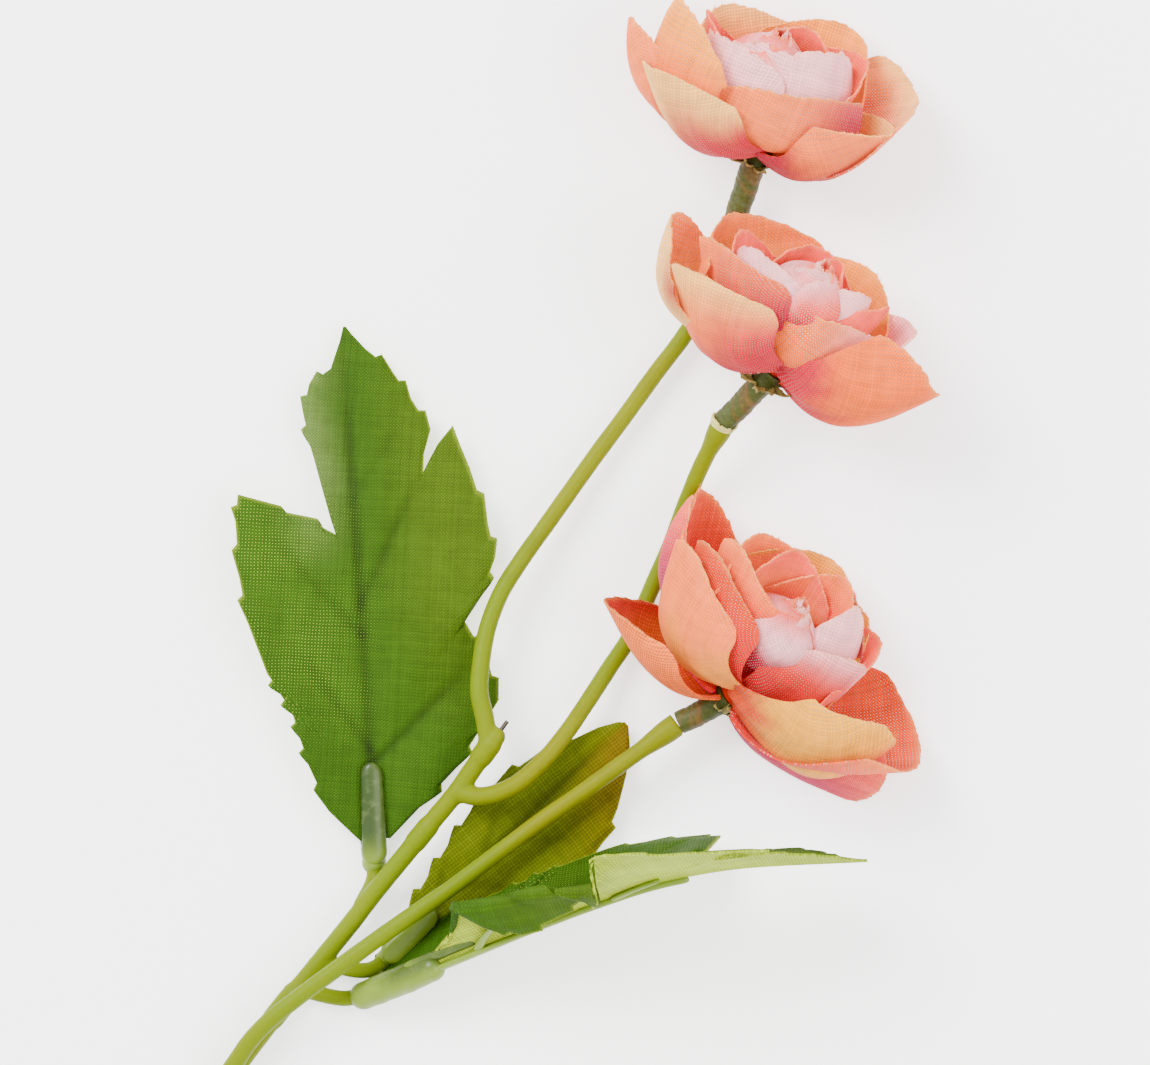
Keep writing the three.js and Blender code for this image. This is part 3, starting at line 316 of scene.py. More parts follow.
# Sepals: how far each strays from its even place, and the ranges that their sizes are drawn from.
SEPALS = dict(
    count=9, stray=12, reach=(5, 8.5), lift=(-0.6, 0.9), width=(1.6, 2.8), thick=0.26, rows=14, columns=12,
)
SEPAL = dict(
    bulge=0.7, cup=25, pinch=0, ruffle=0.3, base=-2.2, root_width=0.8, ragged=0.7, drop=0.6, round=1.5,
)
TAPE = dict(rings=70, sides=28, pitch=1.5, ridge=0.028, lumps=0.05)  # wound tube under a bloom
TORN_RING = dict(radius=2.3, flare=0.25, height=1.2, unrest=0.5, sunk=0.3, thick=0.3, rows=5, columns=40)
OUTER_SEAT = dict(low=0.3, high=3.2, radius=1.9)  # plug that the outer petals are glued to
INNER_SEAT = dict(low=7, below_top=8, radius=3.4)
LOOSE = dict(radius=0.055, taper=0.6, rings=4, sides=3)  # a loose thread on a rim
STEM_RINGS = 200
STEM_SIDES = 24
FOOT = dict(more=0.18, start=0.02, end=0.3)  # how much thicker a branch is at its foot, and where
FLARE = dict(more=0.65, start=0.92, end=0.985)  # the same at its bloom
# below and above: how far the wire stands out of the cut and of the fork.
WIRE = dict(below=0.5, above=3.6, rings=120, sides=14)
SEEDS = dict(outer=100, inner=200, calyx=300, leaf=400)


def srgb(code):
    """Linear colour of a six-figure colour code."""
    parts = [int(code[k:k + 2], 16) / 255 for k in (0, 2, 4)]
    return tuple(p / 12.92 if p <= 0.04045 else ((p + 0.055) / 1.055) ** 2.4 for p in parts)


def colour(name, code, description):
    """A colour for the panel, given by its code."""
    return FloatVectorProperty(
        name=name, description=description, subtype="COLOR", size=3, min=0, max=1, default=srgb(code)
    )


def length(name, millimetres, description):
    """A length for the panel, given in millimetres."""
    return FloatProperty(
        name=name, description=description, unit="LENGTH", min=0, default=millimetres * MM, precision=5
    )


class SPRAY_PG_sizes(bpy.types.PropertyGroup):
    """Sizes that set how the spray is made."""

    fabric: length("Fabric", 0.34, "Thickness of petal fabric")
    leaf_fabric: length("Leaf fabric", 0.5, "Thickness of leaf fabric")
    thread: length("Petal thread", 0.6, "Distance between the threads of petal fabric")
    leaf_thread: length("Leaf thread", 0.6, "Distance between the threads of leaf fabric")
    fray: length("Frayed end", 0.6, "Length of a loose thread on a rim")
    stem: length("Stem radius", 1.8, "Radius of the main stem")
    branch: length("Branch radius", 1.62, "Radius of a branch")
    calyx: length("Calyx radius", 2.15, "Radius of the wound tube under a bloom")
    wire: length("Wire radius", 0.4, "Radius of the steel wire")
    voxel: length("Stem mesh", 0.42, "Cell size of the stem's fused mesh")
    petal_rows: IntProperty(name="Petal rows", description="Cells along a petal", default=40, min=4)
    petal_columns: IntProperty(name="Petal columns", description="Cells across a petal", default=46, min=4)


class SPRAY_PG_colours(bpy.types.PropertyGroup):
    """Dyes and plastics of the spray."""

    cream: colour("Cream", "FABC5C", "Pale tips of outer petals")
    butter: colour("Butter", "F2A408", "Yellow rims of the third bloom")
    sand: colour("Sand", "FA961C", "Yellowish peach petals")
    peach: colour("Peach", "FA742C", "Main outside of petals")
    apricot: colour("Apricot", "F26400", "Warm inside of petals")
    orange: colour("Orange", "D23E00", "Deep inside of petals")
    flame: colour("Flame", "D40A00", "Red-orange lining")
    rust: colour("Rust", "B04A04", "Brownish open lining")
    coral: colour("Coral", "E62E00", "Coral petals")
    rose: colour("Rose", "C60028", "Dye at the root of outer petals")
    crimson: colour("Crimson", "B0002C", "Deep dye at the root")
    red: colour("Red", "A80012", "Deepest dye")
    magenta: colour("Magenta", "B2084A", "Bluish pink corners")
    pink: colour("Pink", "FA5240", "Salmon pink inner petals")
    blush: colour("Blush", "FAAEB4", "Palest inner petals")
    leaf_green: colour("Leaf green", "2E5004", "Lighter print of a leaf")
    leaf_dark: colour("Leaf dark", "284802", "Darker print of a leaf")
    leaf_olive: colour("Leaf olive", "5A6600", "Olive leaf")
    leaf_brown: colour("Leaf brown", "6C5800", "Brown edge of the olive leaf")
    leaf_pale: colour("Leaf pale", "9EB028", "Pale underside of a leaf")
    # Painted highlight: a greyish light colour in place of a soft glossy reflection on the first leaf's
    # upper lobe.
    leaf_highlight: colour("Leaf highlight", "74884A", "Greyish light on a leaf's upper lobe")
    sepal: colour("Sepal", "8E7C42", "Dry scraps under a bloom")
    ring: colour("Torn ring", "BEB868", "Pale torn end of a branch")
    stem: colour("Stem", "5E6E00", "Moulded stem")
    stem_warm: colour("Stem warm", "6E6E00", "Warmer stretches of the stem")
    stem_dark: colour("Stem dark", "444A10", "Scuffed stretches of the stem")
    holder: colour("Holder", "7C9426", "Milky leaf holder")
    # Partly the green core seen through the plastic, and partly painted shade of the leaf over it.
    core: colour("Holder core", "1C3414", "Green seen through a holder")
    calyx: colour("Calyx", "3A4016", "Wound tube under a bloom")
    calyx_brown: colour("Calyx brown", "5E421C", "Brown stretches of the wound tube")
    steel: colour("Steel", "5B544B", "Wire")
    floor: colour("Floor", "F4F4F4", "Table under the spray")


def sizes():
    """The sizes that the panel shows."""
    return bpy.context.scene.spray_sizes


def dye(name):
    """Linear colour of a named dye, as an array."""
    return np.array(getattr(bpy.context.scene.spray_colours, name), float)


# Numbers and curves


def plan(points):
    """Points of the plan, in millimetres, in the frame's metres."""
    return np.asarray(points, float) * MM - MIDDLE


def mix(one, two, share):
    """one at share 0, two at share 1."""
    return one + (two - one) * share


def ease(low, high, x):
    """0 up to low, 1 from high, and 3t^2 - 2t^3 between."""
    t = np.clip((x - low) / (high - low), 0, 1)
    return t * t * (3 - 2 * t)


def unit(vectors):
    """The vectors at length 1."""
    return vectors / np.linalg.norm(vectors, axis=-1, keepdims=True)


def wobble(x, seed):
    """A smooth unrest of about -1 to 1: three sines of unlike lengths."""
    long, middle, short = (np.sin(k * x + m * seed) for k, m in ((1, 1.7), (2.3, 4.1), (4.9, 2.9)))
    return (long + 0.6 * middle + 0.4 * short) / 2


def turned(across, along, angle):
    """Two lengths turned by an angle in radians, side by side in the last axis."""
    return np.stack([
        across * math.cos(angle) - along * math.sin(angle),
        across * math.sin(angle) + along * math.cos(angle),
    ], -1)


def ring_angles(sides):
    """Angles of evenly set points on a full ring."""
    return 2 * np.pi * np.arange(sides) / sides


def cells_of(rows, columns):
    """u from 0 to 1 down the rows and v from -1 to 1 along the columns, at each corner of the cells."""
    u = np.linspace(0, 1, rows + 1)[:, None] * np.ones(columns + 1)
    v = np.linspace(-1, 1, columns + 1)[None, :] * np.ones((rows + 1, 1))
    return u, v


def smooth_route(points, count):
    """Cubic Hermite curve through the points, whose slope at each is the mean of its two chords."""
    points = np.asarray(points, float)
    reach = np.concatenate([[0], np.cumsum(np.linalg.norm(np.diff(points, axis=0), axis=1))])
    slope = np.gradient(points, reach, axis=0)
    at = np.linspace(0, reach[-1], count)
    k = np.clip(np.searchsorted(reach, at, side="right") - 1, 0, len(reach) - 2)
    span = (reach[k + 1] - reach[k])[:, None]
    x = (at - reach[k])[:, None] / span
    here = (1 + 2 * x) * (1 - x) ** 2 * points[k] + x * (1 - x) ** 2 * span * slope[k]
    there = x * x * (3 - 2 * x) * points[k + 1] + x * x * (x - 1) * span * slope[k + 1]
    return here + there


# Meshes: a part is a dict of points, faces (a list of index arrays) and values at each point


def part(points, faces, colours, threads=None, gap=0.0):
    """One closed surface: its points, its faces, a colour for each point, and the place in the weave."""
    points = points.reshape(-1, 3)
    count = len(points)
    colours = np.broadcast_to(np.asarray(colours, float).reshape(-1, 3), (count, 3))
    threads = np.zeros((count, 2)) if threads is None else threads.reshape(-1, 2)
    gap = np.broadcast_to(np.ravel(gap), count)
    return dict(points=points, faces=faces, colours=colours, threads=threads, gap=gap.astype(float))


def joined(parts):
    """Several parts as one, with the face indices moved along."""
    starts = np.cumsum([0] + [len(p["points"]) for p in parts[:-1]])
    kept = ("points", "colours", "threads", "gap")
    whole = {key: np.concatenate([p[key] for p in parts]) for key in kept}
    whole["faces"] = [faces + start for p, start in zip(parts, starts) for faces in p["faces"]]
    return whole


def normals(grid):
    """Unit normals of a grid surface: the slope along the rows crossed with the slope along the columns."""
    return unit(np.cross(np.gradient(grid, axis=0), np.gradient(grid, axis=1)))


def shell(grid, thickness, front, back, threads, gap=0.0):
    """A thin closed blade: the grid moved half the thickness to each side along its normal, and a rim.

    front colours the side that the normal points to, back the other one.
    """
    rows, columns = grid.shape[:2]
    count = rows * columns
    away = normals(grid) * thickness / 2
    index = np.arange(count).reshape(rows, columns)
    cells = np.stack([index[:-1, :-1], index[1:, :-1], index[1:, 1:], index[:-1, 1:]], -1).reshape(-1, 4)
    ring = np.concatenate([index[:-1, 0], index[-1, :-1], index[:0:-1, -1], index[0, :0:-1]])
    after = np.roll(ring, -1)
    rim = np.stack([after, ring, ring + count, after + count], -1)
    faces = np.concatenate([cells, cells[:, ::-1] + count, rim])
    points = np.concatenate([(grid + away).reshape(-1, 3), (grid - away).reshape(-1, 3)])
    colours = np.concatenate([front.reshape(-1, 3), back.reshape(-1, 3)])
    gap = np.tile(np.broadcast_to(gap, (rows, columns)).ravel(), 2)
    return part(points, [faces], colours, np.concatenate([threads.reshape(-1, 2)] * 2), gap)


def tube(path, wide, high, sides, colours, side=None, up=None):
    """A closed tube: path(s) + wide(s, a) cos a side + high(s, a) sin a up, with a fan at each end."""
    rings = len(path)
    tangent = unit(np.gradient(path, axis=0))
    if side is None:
        side = unit(np.cross(tangent, UP))
        up = np.cross(side, tangent)
    angle = ring_angles(sides)
    wide, high = (np.broadcast_to(np.asarray(r, float), (rings, sides))[..., None] for r in (wide, high))
    around = wide * np.cos(angle)[None, :, None] * side[:, None]
    around = around + high * np.sin(angle)[None, :, None] * up[:, None]
    points = np.concatenate([(path[:, None] + around).reshape(-1, 3), path[[0]], path[[-1]]])
    index = np.arange(rings * sides).reshape(rings, sides)
    beside = np.roll(index, -1, axis=1)
    cells = np.stack([index[:-1], index[1:], beside[1:], beside[:-1]], -1).reshape(-1, 4)
    first = np.stack([np.full(sides, rings * sides), index[0], beside[0]], -1)
    last = np.stack([np.full(sides, rings * sides + 1), beside[-1], index[-1]], -1)
    colours = np.asarray(colours, float)
    if colours.ndim > 1:
        colours = np.broadcast_to(colours if colours.ndim == 3 else colours[:, None], (rings, sides, 3))
        colours = np.concatenate([colours.reshape(-1, 3), colours[0, :1], colours[-1, :1]])
    return part(points, [cells, first, last], colours)


def rod(path, radius, sides, colours):
    """A round tube whose radius, in metres, is given along its path."""
    radius = np.asarray(radius, float)[..., None]
    return tube(path, radius, radius, sides, colours)


def rounded(path, radius, ends=(True, True)):
    """Path and radius with a half ball put on each chosen end: r cos q at r sin q past the end."""
    quarter = np.radians(np.linspace(0, 84, 7))[1:]
    for end, chosen in zip((0, -1), ends):
        if not chosen:
            continue
        away = unit(path[end] - path[1 if end == 0 else -2])
        size = radius[end]
        ball = path[end] + away * (size * np.sin(quarter))[:, None]
        thin = size * np.cos(quarter)
        if end == 0:
            path, radius = np.concatenate([ball[::-1], path]), np.concatenate([thin[::-1], radius])
        else:
            path, radius = np.concatenate([path, ball]), np.concatenate([radius, thin])
    return path, radius


def loose_threads(starts, away, across, colours, reach, rng):
    """Fine tapered threads, which leave their starts along `away` and bend aside as the way squared."""
    count = len(starts)
    run = reach * rng.uniform(0.35, 1.3, count)
    bend = rng.normal(0, 0.55, (count, 1)) * across
    bend = bend + rng.normal(0, 0.35, (count, 1)) * np.cross(away, across)
    away = unit(away + 0.5 * rng.normal(0, 0.5, (count, 1)) * across)
    rings, sides = LOOSE["rings"], LOOSE["sides"]
    t = np.linspace(0, 1, rings)[None, :, None]
    line = starts[:, None] + run[:, None, None] * (away[:, None] * t + bend[:, None] * t * t)
    second = unit(np.cross(away, across))
    angle = ring_angles(sides)[None, :, None]
    section = np.cos(angle) * across[:, None] + np.sin(angle) * second[:, None]
    thick = (LOOSE["radius"] * MM * (1 - LOOSE["taper"] * t))[:, :, None]
    points = line[:, :, None] + thick * section[:, None]
    index = np.arange(count * rings * sides).reshape(count, rings, sides)
    beside = np.roll(index, -1, axis=2)
    cells = np.stack([index[:, :-1], beside[:, :-1], beside[:, 1:], index[:, 1:]], -1).reshape(-1, 4)
    ends = np.concatenate([index[:, 0, ::-1], index[:, -1]])
    return part(points, [cells, ends], np.repeat(colours, rings * sides, axis=0))


def frayed_rim(grid, columns, colours, rng):
    """Loose threads on the last row of a grid, at the given columns."""
    away = unit(grid[-1, columns] - grid[-3, columns])
    sideways = unit(grid[-1, columns + 1] - grid[-1, columns - 1])
    return loose_threads(grid[-1, columns], away, sideways, colours[-1, columns], sizes().fray, rng)


def bare_mesh(name, whole):
    """A mesh of a part's points and faces."""
    mesh = bpy.data.meshes.new(name)
    faces = [face for block in whole["faces"] for face in block.tolist()]
    mesh.from_pydata(whole["points"], [], faces)
    return mesh


def linked(name, data):
    """A new object in the scene, for a mesh, a light or a camera."""
    obj = bpy.data.objects.new(name, data)
    bpy.context.scene.collection.objects.link(obj)
    return obj


def make_object(name, parts, material, replaces, sharp=50):
    """Puts parts into one mesh object at the origin, ties it to the body and hides the model's parts that
    it stands in for.
    """
    whole = joined(parts)
    mesh = bare_mesh(name, whole)
    dyes = mesh.attributes.new("dye", "FLOAT_COLOR", "POINT")
    dyes.data.foreach_set("color", np.pad(whole["colours"], ((0, 0), (0, 1)), constant_values=1).ravel())
    gap = mesh.attributes.new("gap", "FLOAT", "POINT")
    gap.data.foreach_set("value", whole["gap"])
    corners = np.empty(len(mesh.loops), np.int32)
    mesh.loops.foreach_get("vertex_index", corners)
    mesh.uv_layers.new(name="threads").data.foreach_set("uv", whole["threads"][corners].ravel())
    mesh.shade_smooth()
    mesh.set_sharp_from_angle(angle=math.radians(sharp))
    mesh.materials.append(material)
    if mesh.validate():
        raise RuntimeError(f"{name}: the mesh had faults")
    declare(linked(name, mesh), replaces)


def declare(obj, replaces):
    """Ties a piece to the spray's one body, and hides the model's nodes that it stands for."""
    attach(obj, "root")
    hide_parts(*replaces)


# Petals


def bloom_frame(bloom):
    """The bloom's axis, and the two directions round it that face up and to the side."""
    axis = unit(np.array(bloom["axis"], float))
    front = unit(UP - axis * axis[2])
    return axis, front, np.cross(axis, front)


def outward(petal, bloom, radial):
    """The way a petal's outside looks: its own angle round the axis, or straight away from the axis."""
    axis, front, side = bloom_frame(bloom)
    if petal["face"] is None:
        return radial - 0.35 * axis
    turn = math.radians(petal["face"])
    return front * math.cos(turn) + side * math.sin(turn) - 0.35 * axis


def petal_surface(petal, bloom, rows, columns, rng):
    """Middle surface of a petal, with u from root to rim, v from edge to edge and lengths across and along.

    A point has gone f = u (1 - drop |v|^round + slant v) of the way from root to tip. The centre line
    bows out by 4 bulge f (1 - f) (1 + skew (1 - 2f)), and goes aside by 4 sweep f (1 - f). The half
    width is width/2 (r + (1 - r) sin(0.72 pi u)^0.9), r the root's share. The section is an arc that
    turns in by cup degrees at each edge, with a crease of slope pinch u^3. Waves of the cloth, gathers
    at the root and the torn rim are added along the normal and along the length.
    """
    axis = bloom_frame(bloom)[0]
    tip = np.array(petal["tip"], float)
    radial = unit(tip - axis * (tip @ axis))
    base = axis * petal["base"] + radial * petal["root_radius"]
    run = tip - base
    span = np.linalg.norm(run)
    along = run / span
    out = outward(petal, bloom, radial)
    out = unit(out - along * (out @ along))
    side = np.cross(along, out)
    u, v = cells_of(rows, columns)
    seed = petal["width"] + 0.31 * tip[0]
    torn = rng.uniform(-1, 0.3, columns + 1) + 0.5 * wobble(9 * v[0], seed)
    f = u * (1 - petal["drop"] * np.abs(v) ** petal["round"] + petal["slant"] * v)
    f = f + petal["ragged"] / span * torn * ease(0.93, 1, u)
    narrow = petal["root_width"]
    half = petal["width"] / 2 * (narrow + (1 - narrow) * np.sin(0.72 * np.pi * u) ** 0.9)
    lean = 1 + petal["skew"] * (1 - 2 * f)
    bow = 4 * petal["bulge"] * f * (1 - f) * lean
    slope = 4 * petal["bulge"] * ((1 - 2 * f) * lean - 2 * petal["skew"] * f * (1 - f))
    tangent = unit(span * along + slope[..., None] * out)
    normal = np.cross(side, tangent)
    reach = v * half
    bend = math.radians(petal["cup"]) / (petal["width"] / 2)
    crease = petal["pinch"] * u ** 3
    soft = 0.06 * petal["width"]
    across = np.sin(bend * reach) / bend / np.sqrt(1 + crease ** 2) + 4 * petal["sweep"] * f * (1 - f)
    curl = (1 - np.cos(bend * reach)) / bend + crease * (np.hypot(reach, soft) - soft)
    waves = petal["ruffle"] * u ** 2 * np.sin(5.1 * v + petal["width"])
    waves = waves + 0.3 * u ** 3 * wobble(6.5 * v, seed)
    waves = waves + 0.12 * np.sin(math.pi * u) * wobble(4 * v + 5 * u, seed + 2)
    gathers = 0.35 * (1 - u) ** 2 * np.sin(13 * v + seed)
    inward = curl + waves + gathers + petal["roll"] * ease(0.7, 1, u) ** 2
    grid = np.array(bloom["root"], float) + base + f[..., None] * run + bow[..., None] * out
    grid = grid + across[..., None] * side - inward[..., None] * normal
    return grid, u, v, reach, f * span


def clear_of_table(grid, thickness):
    """Points that would reach the table, eased to rest above it: low + s exp((z - low - s) / s)."""
    low, soft = thickness, 0.5 * MM
    z = grid[..., 2]
    eased = low + soft * np.exp(np.minimum(z - low - soft, 0) / soft)
    return np.concatenate([grid[..., :2], np.where(z < low + soft, eased, z)[..., None]], -1)


def dyed(petal, names, u, v, seed):
    """Colours over a petal: the rim's dye comes in towards its end, the root's fades out at `reach`, a
    stain spreads round its own place as exp(-d^2), and the cut rim is paler."""
    root, middle, rim = (dye(name) for name in names.split())
    edge = np.maximum(ease(0.6, 1.05, u), 0.7 * ease(0.75, 1.0, np.abs(v)) * u)[..., None]
    unrest = 0.12 * wobble(3.2 * v, seed) + 0.05 * wobble(11 * v + 4 * u, seed + 1)
    root_share = 1 - ease(0.3 * petal["reach"], petal["reach"], u + unrest)
    shade = mix(mix(middle, rim, edge), root, root_share[..., None])
    if petal["stain"]:
        at_u, at_v, radius, name = petal["stain"]
        distance = np.hypot((u - at_u) * 1.2, v - at_v) / radius
        shade = mix(shade, dye(name), np.exp(-distance ** 2)[..., None] * 0.9)
    cut = ease(0.965, 1, u) * 0.3
    return mix(shade, dye("cream"), cut[..., None])


def petal_parts(entry, bloom, rng):
    """A petal's blade and its loose threads."""
    petal = {**PETAL, **entry}
    size = sizes()
    grid, u, v, across, along = petal_surface(petal, bloom, size.petal_rows, size.petal_columns, rng)
    grid = clear_of_table(plan(grid), size.fabric)
    threads = turned(across, along, math.radians(petal["grain"])) / (size.thread / MM)
    seed = petal["tip"][0]
    inside = dyed(petal, petal["lining"], u, v, seed)
    outside = dyed(petal, petal["dyes"], u, v, seed)
    parts = [shell(grid, size.fabric, inside, outside, threads, petal["open"])]
    count = int(petal["fray"] * petal["width"] / 10)
    if count:
        parts.append(frayed_rim(grid, rng.integers(1, grid.shape[1] - 1, count), outside, rng))
    return parts


def bud_parts(bloom, rng):
    """Small petals wound round the axis and closed over it, each a fixed step on from the last.

    s is the share of a petal's height, and k the share of the petals that are wound before it. The
    radius is R (1 - 0.82 k) (0.75 + 0.25 sin(pi s)), which closes by 0.8 - 0.25 k over the upper half.
    One edge lies a seventh further out and the other a seventh further in, so that the wraps lie inside
    each other like a spiral.
    """
    bud = {**PETAL, **bloom["bud"], "reach": 0.75}
    axis, front, side = bloom_frame(bloom)
    size = sizes()
    tall, columns = BUD["tall"], BUD["columns"]
    u, v = cells_of(BUD["rows"], columns)
    middle = np.array(bloom["root"], float) + bud["aside"] * side
    root, one, two = bud["dyes"].split()
    parts = []
    for k in range(bud["count"]):
        share = k / bud["count"]
        span = math.radians(BUD["wrap"] - BUD["fewer"] * share)
        angle = math.radians(bud["start"] + BUD["step"] * k) + v * span
        torn = 0.035 * (rng.uniform(-1, 0.2, columns + 1) + wobble(8 * v[0], k)) * ease(0.9, 1, u)
        s = u * (1 - 0.16 * np.abs(v) ** 2.4) + torn
        height = bud["height"] - tall + (tall - 2.4 * (1 - share)) * s
        close = 1 - (0.8 - 0.25 * share) * ease(0.42, 1.12, s) ** 1.2
        belly = 0.75 + 0.25 * np.sin(np.pi * np.clip(s, 0, 1))
        radius = bud["radius"] * (1 - 0.82 * share) * belly * close
        radius = radius * (1 - 0.14 * v) + 0.16 * u * wobble(5 * v + 2 * u, 3.1 * k)
        around = np.cos(angle)[..., None] * front + np.sin(angle)[..., None] * side
        grid = plan(middle + height[..., None] * axis + radius[..., None] * around)
        across = v * span * bud["radius"] * (1 - 0.6 * share)
        threads = turned(across, tall * s, 0.5 * k) / (size.thread / MM)
        outside = dyed(bud, f"{root} {two} {one}" if k % 2 else f"{root} {one} {two}", u, v, k)
        inside = dyed(bud, "red rose pink", u, v, k)
        parts.append(shell(grid, size.fabric, inside, outside, threads, BUD["open"]))
        parts.append(frayed_rim(grid, rng.integers(1, columns, BUD["threads"]), outside, rng))
    return parts


def seat(bloom, low, high, radius, name):
    """A round plug on the bloom's axis that the petal roots are glued to."""
    axis = bloom_frame(bloom)[0]
    path, thin = rounded(np.linspace(low, high, 8)[:, None] * axis, np.full(8, float(radius)))
    return rod(plan(np.array(bloom["root"]) + path), thin * MM, 20, dye(name))


class SPRAY_OT_outer_petals(bpy.types.Operator):
    """Outer petals of each bloom: woven, dyed and frayed blades on a seat"""

    bl_idname = "spray.outer_petals"
    bl_label = "Outer petals"

    def execute(self, context):
        for number, bloom in enumerate(BLOOMS):
            rng = np.random.default_rng(SEEDS["outer"] + number)
            parts = [seat(bloom, OUTER_SEAT["low"], OUTER_SEAT["high"], OUTER_SEAT["radius"], "coral")]
            for entry in bloom["outer"]:
                parts += petal_parts(entry, bloom, rng)
            name = bloom["name"]
            make_object(f"{name}_outer_petals", parts, petal_material(), [f"{name}_petals"])
        return {"FINISHED"}


class SPRAY_OT_inner_petals(bpy.types.Operator):
    """Inner petals and wound bud of each bloom"""

    bl_idname = "spray.inner_petals"
    bl_label = "Inner petals"

    def execute(self, context):
        for number, bloom in enumerate(BLOOMS):
            rng = np.random.default_rng(SEEDS["inner"] + number)
            top = bloom["bud"]["height"] - INNER_SEAT["below_top"]
            parts = [seat(bloom, INNER_SEAT["low"], top, INNER_SEAT["radius"], "rose")]
            for entry in bloom["inner"]:
                parts += petal_parts(entry, bloom, rng)
            parts += bud_parts(bloom, rng)
            name = bloom["name"]
            make_object(f"{name}_inner_petals", parts, petal_material(), [f"{name}_heart"])
        return {"FINISHED"}


class SPRAY_OT_calyxes(bpy.types.Operator):
    """Wound tube and ragged sepals under each bloom"""

    bl_idname = "spray.calyxes"
    bl_label = "Calyxes"

    def execute(self, context):
        for number, (bloom, branch) in enumerate(zip(BLOOMS, BRANCHES)):
            rng = np.random.default_rng(SEEDS["calyx"] + number)
            parts = [calyx_tube(bloom, branch, number)] + sepals(bloom, rng)
            if bloom["name"] == "bloom_2":
                parts.append(torn_ring(branch, rng))
            name = f"calyx_{number + 1}"
            make_object(f"{name}_wound", parts, calyx_material(), [name])
        return {"FINISHED"}


def branch_end(branch):
    """Where a branch ends, and the way that it runs there."""
    end = np.array(branch[-1], float)
    return end, unit(end - np.array(branch[-2], float))


def calyx_tube(bloom, branch, seed):
    """A tube of wound tape: radius r (1 + ridge |sin(turns)| + lumps), flaring at the bloom."""
    end, away = branch_end(branch)
    axis = bloom_frame(bloom)[0]
    root = np.array(bloom["root"], float)
    middle = mix(end, root - axis * 1.5, 0.5) + away * 0.5
    path = plan(smooth_route([end + away * 0.35, middle, root + axis * 0.4], TAPE["rings"]))
    share = np.linspace(0, 1, TAPE["rings"])[:, None]
    angle = ring_angles(TAPE["sides"])[None, :]
    reach = share * np.linalg.norm(end - root)
    wraps = reach + 0.5 * wobble(reach, seed + 3) + 0.6 * np.cos(angle - 0.5)
    wound = TAPE["ridge"] * np.abs(np.sin(wraps * np.pi / TAPE["pitch"]))
    wound = wound + TAPE["lumps"] * wobble(reach * 1.1 + 1.5 * np.cos(angle), seed)
    radius = sizes().calyx * (1 + wound + 0.1 * share + 0.25 * ease(0.85, 1, share))
    patch = ease(-0.1, 1.1, wobble(reach * 0.6 + 1.3 * np.sin(angle + 0.7), seed + 1))[..., None]
    shade = mix(dye("calyx"), dye("calyx_brown"), patch)
    return tube(path, radius, radius, TAPE["sides"], shade)


def sepals(bloom, rng):
    """Narrow ragged scraps that lie along the undersides of the outer petals."""
    axis, front, side = bloom_frame(bloom)
    parts = []
    for k in range(SEPALS["count"]):
        stray = rng.uniform(-SEPALS["stray"], SEPALS["stray"])
        turn = math.radians(20 + 360 / SEPALS["count"] * k + stray)
        reach = rng.uniform(*SEPALS["reach"]) * bloom["sepals"]
        around = front * math.cos(turn) + side * math.sin(turn)
        tip = axis * rng.uniform(*SEPALS["lift"]) + around * reach
        petal = {**PETAL, **SEPAL, "tip": tuple(tip), "width": rng.uniform(*SEPALS["width"])}
        grid, u, v, across, along = petal_surface(petal, bloom, SEPALS["rows"], SEPALS["columns"], rng)
        shade = mix(dye("sepal"), dye("calyx"), 0.7 * ease(-0.5, 1, wobble(4 * v + 3 * u, k))[..., None])
        threads = np.stack([across, along], -1)
        grid = clear_of_table(plan(grid), 0.3 * MM)
        parts.append(shell(grid, SEPALS["thick"] * MM, shade, shade, threads))
    return parts


def torn_ring(branch, rng):
    """Pale torn lip round a branch's end: a band of radius r that stands up to a ragged height h(a)."""
    size = TORN_RING
    end, away = branch_end(branch)
    side = unit(np.cross(away, UP))
    up = np.cross(side, away)
    angle = np.linspace(0, 2 * np.pi, size["columns"] + 1)[None, :]
    share = np.linspace(0, 1, size["rows"] + 1)[:, None]
    height = size["height"] + size["unrest"] * wobble(2 * angle, 2)
    height = height + rng.uniform(-0.25, 0.25, angle.shape)
    height[:, -1] = height[:, 0]
    radius = size["radius"] + size["flare"] * share
    around = np.cos(angle)[..., None] * side + np.sin(angle)[..., None] * up
    grid = end + (height * share - size["sunk"])[..., None] * away + radius[..., None] * around
    shade = np.broadcast_to(dye("ring"), grid.shape)
    return shell(plan(grid), size["thick"] * MM, shade, shade, np.zeros((*grid.shape[:2], 2)))


# Leaves


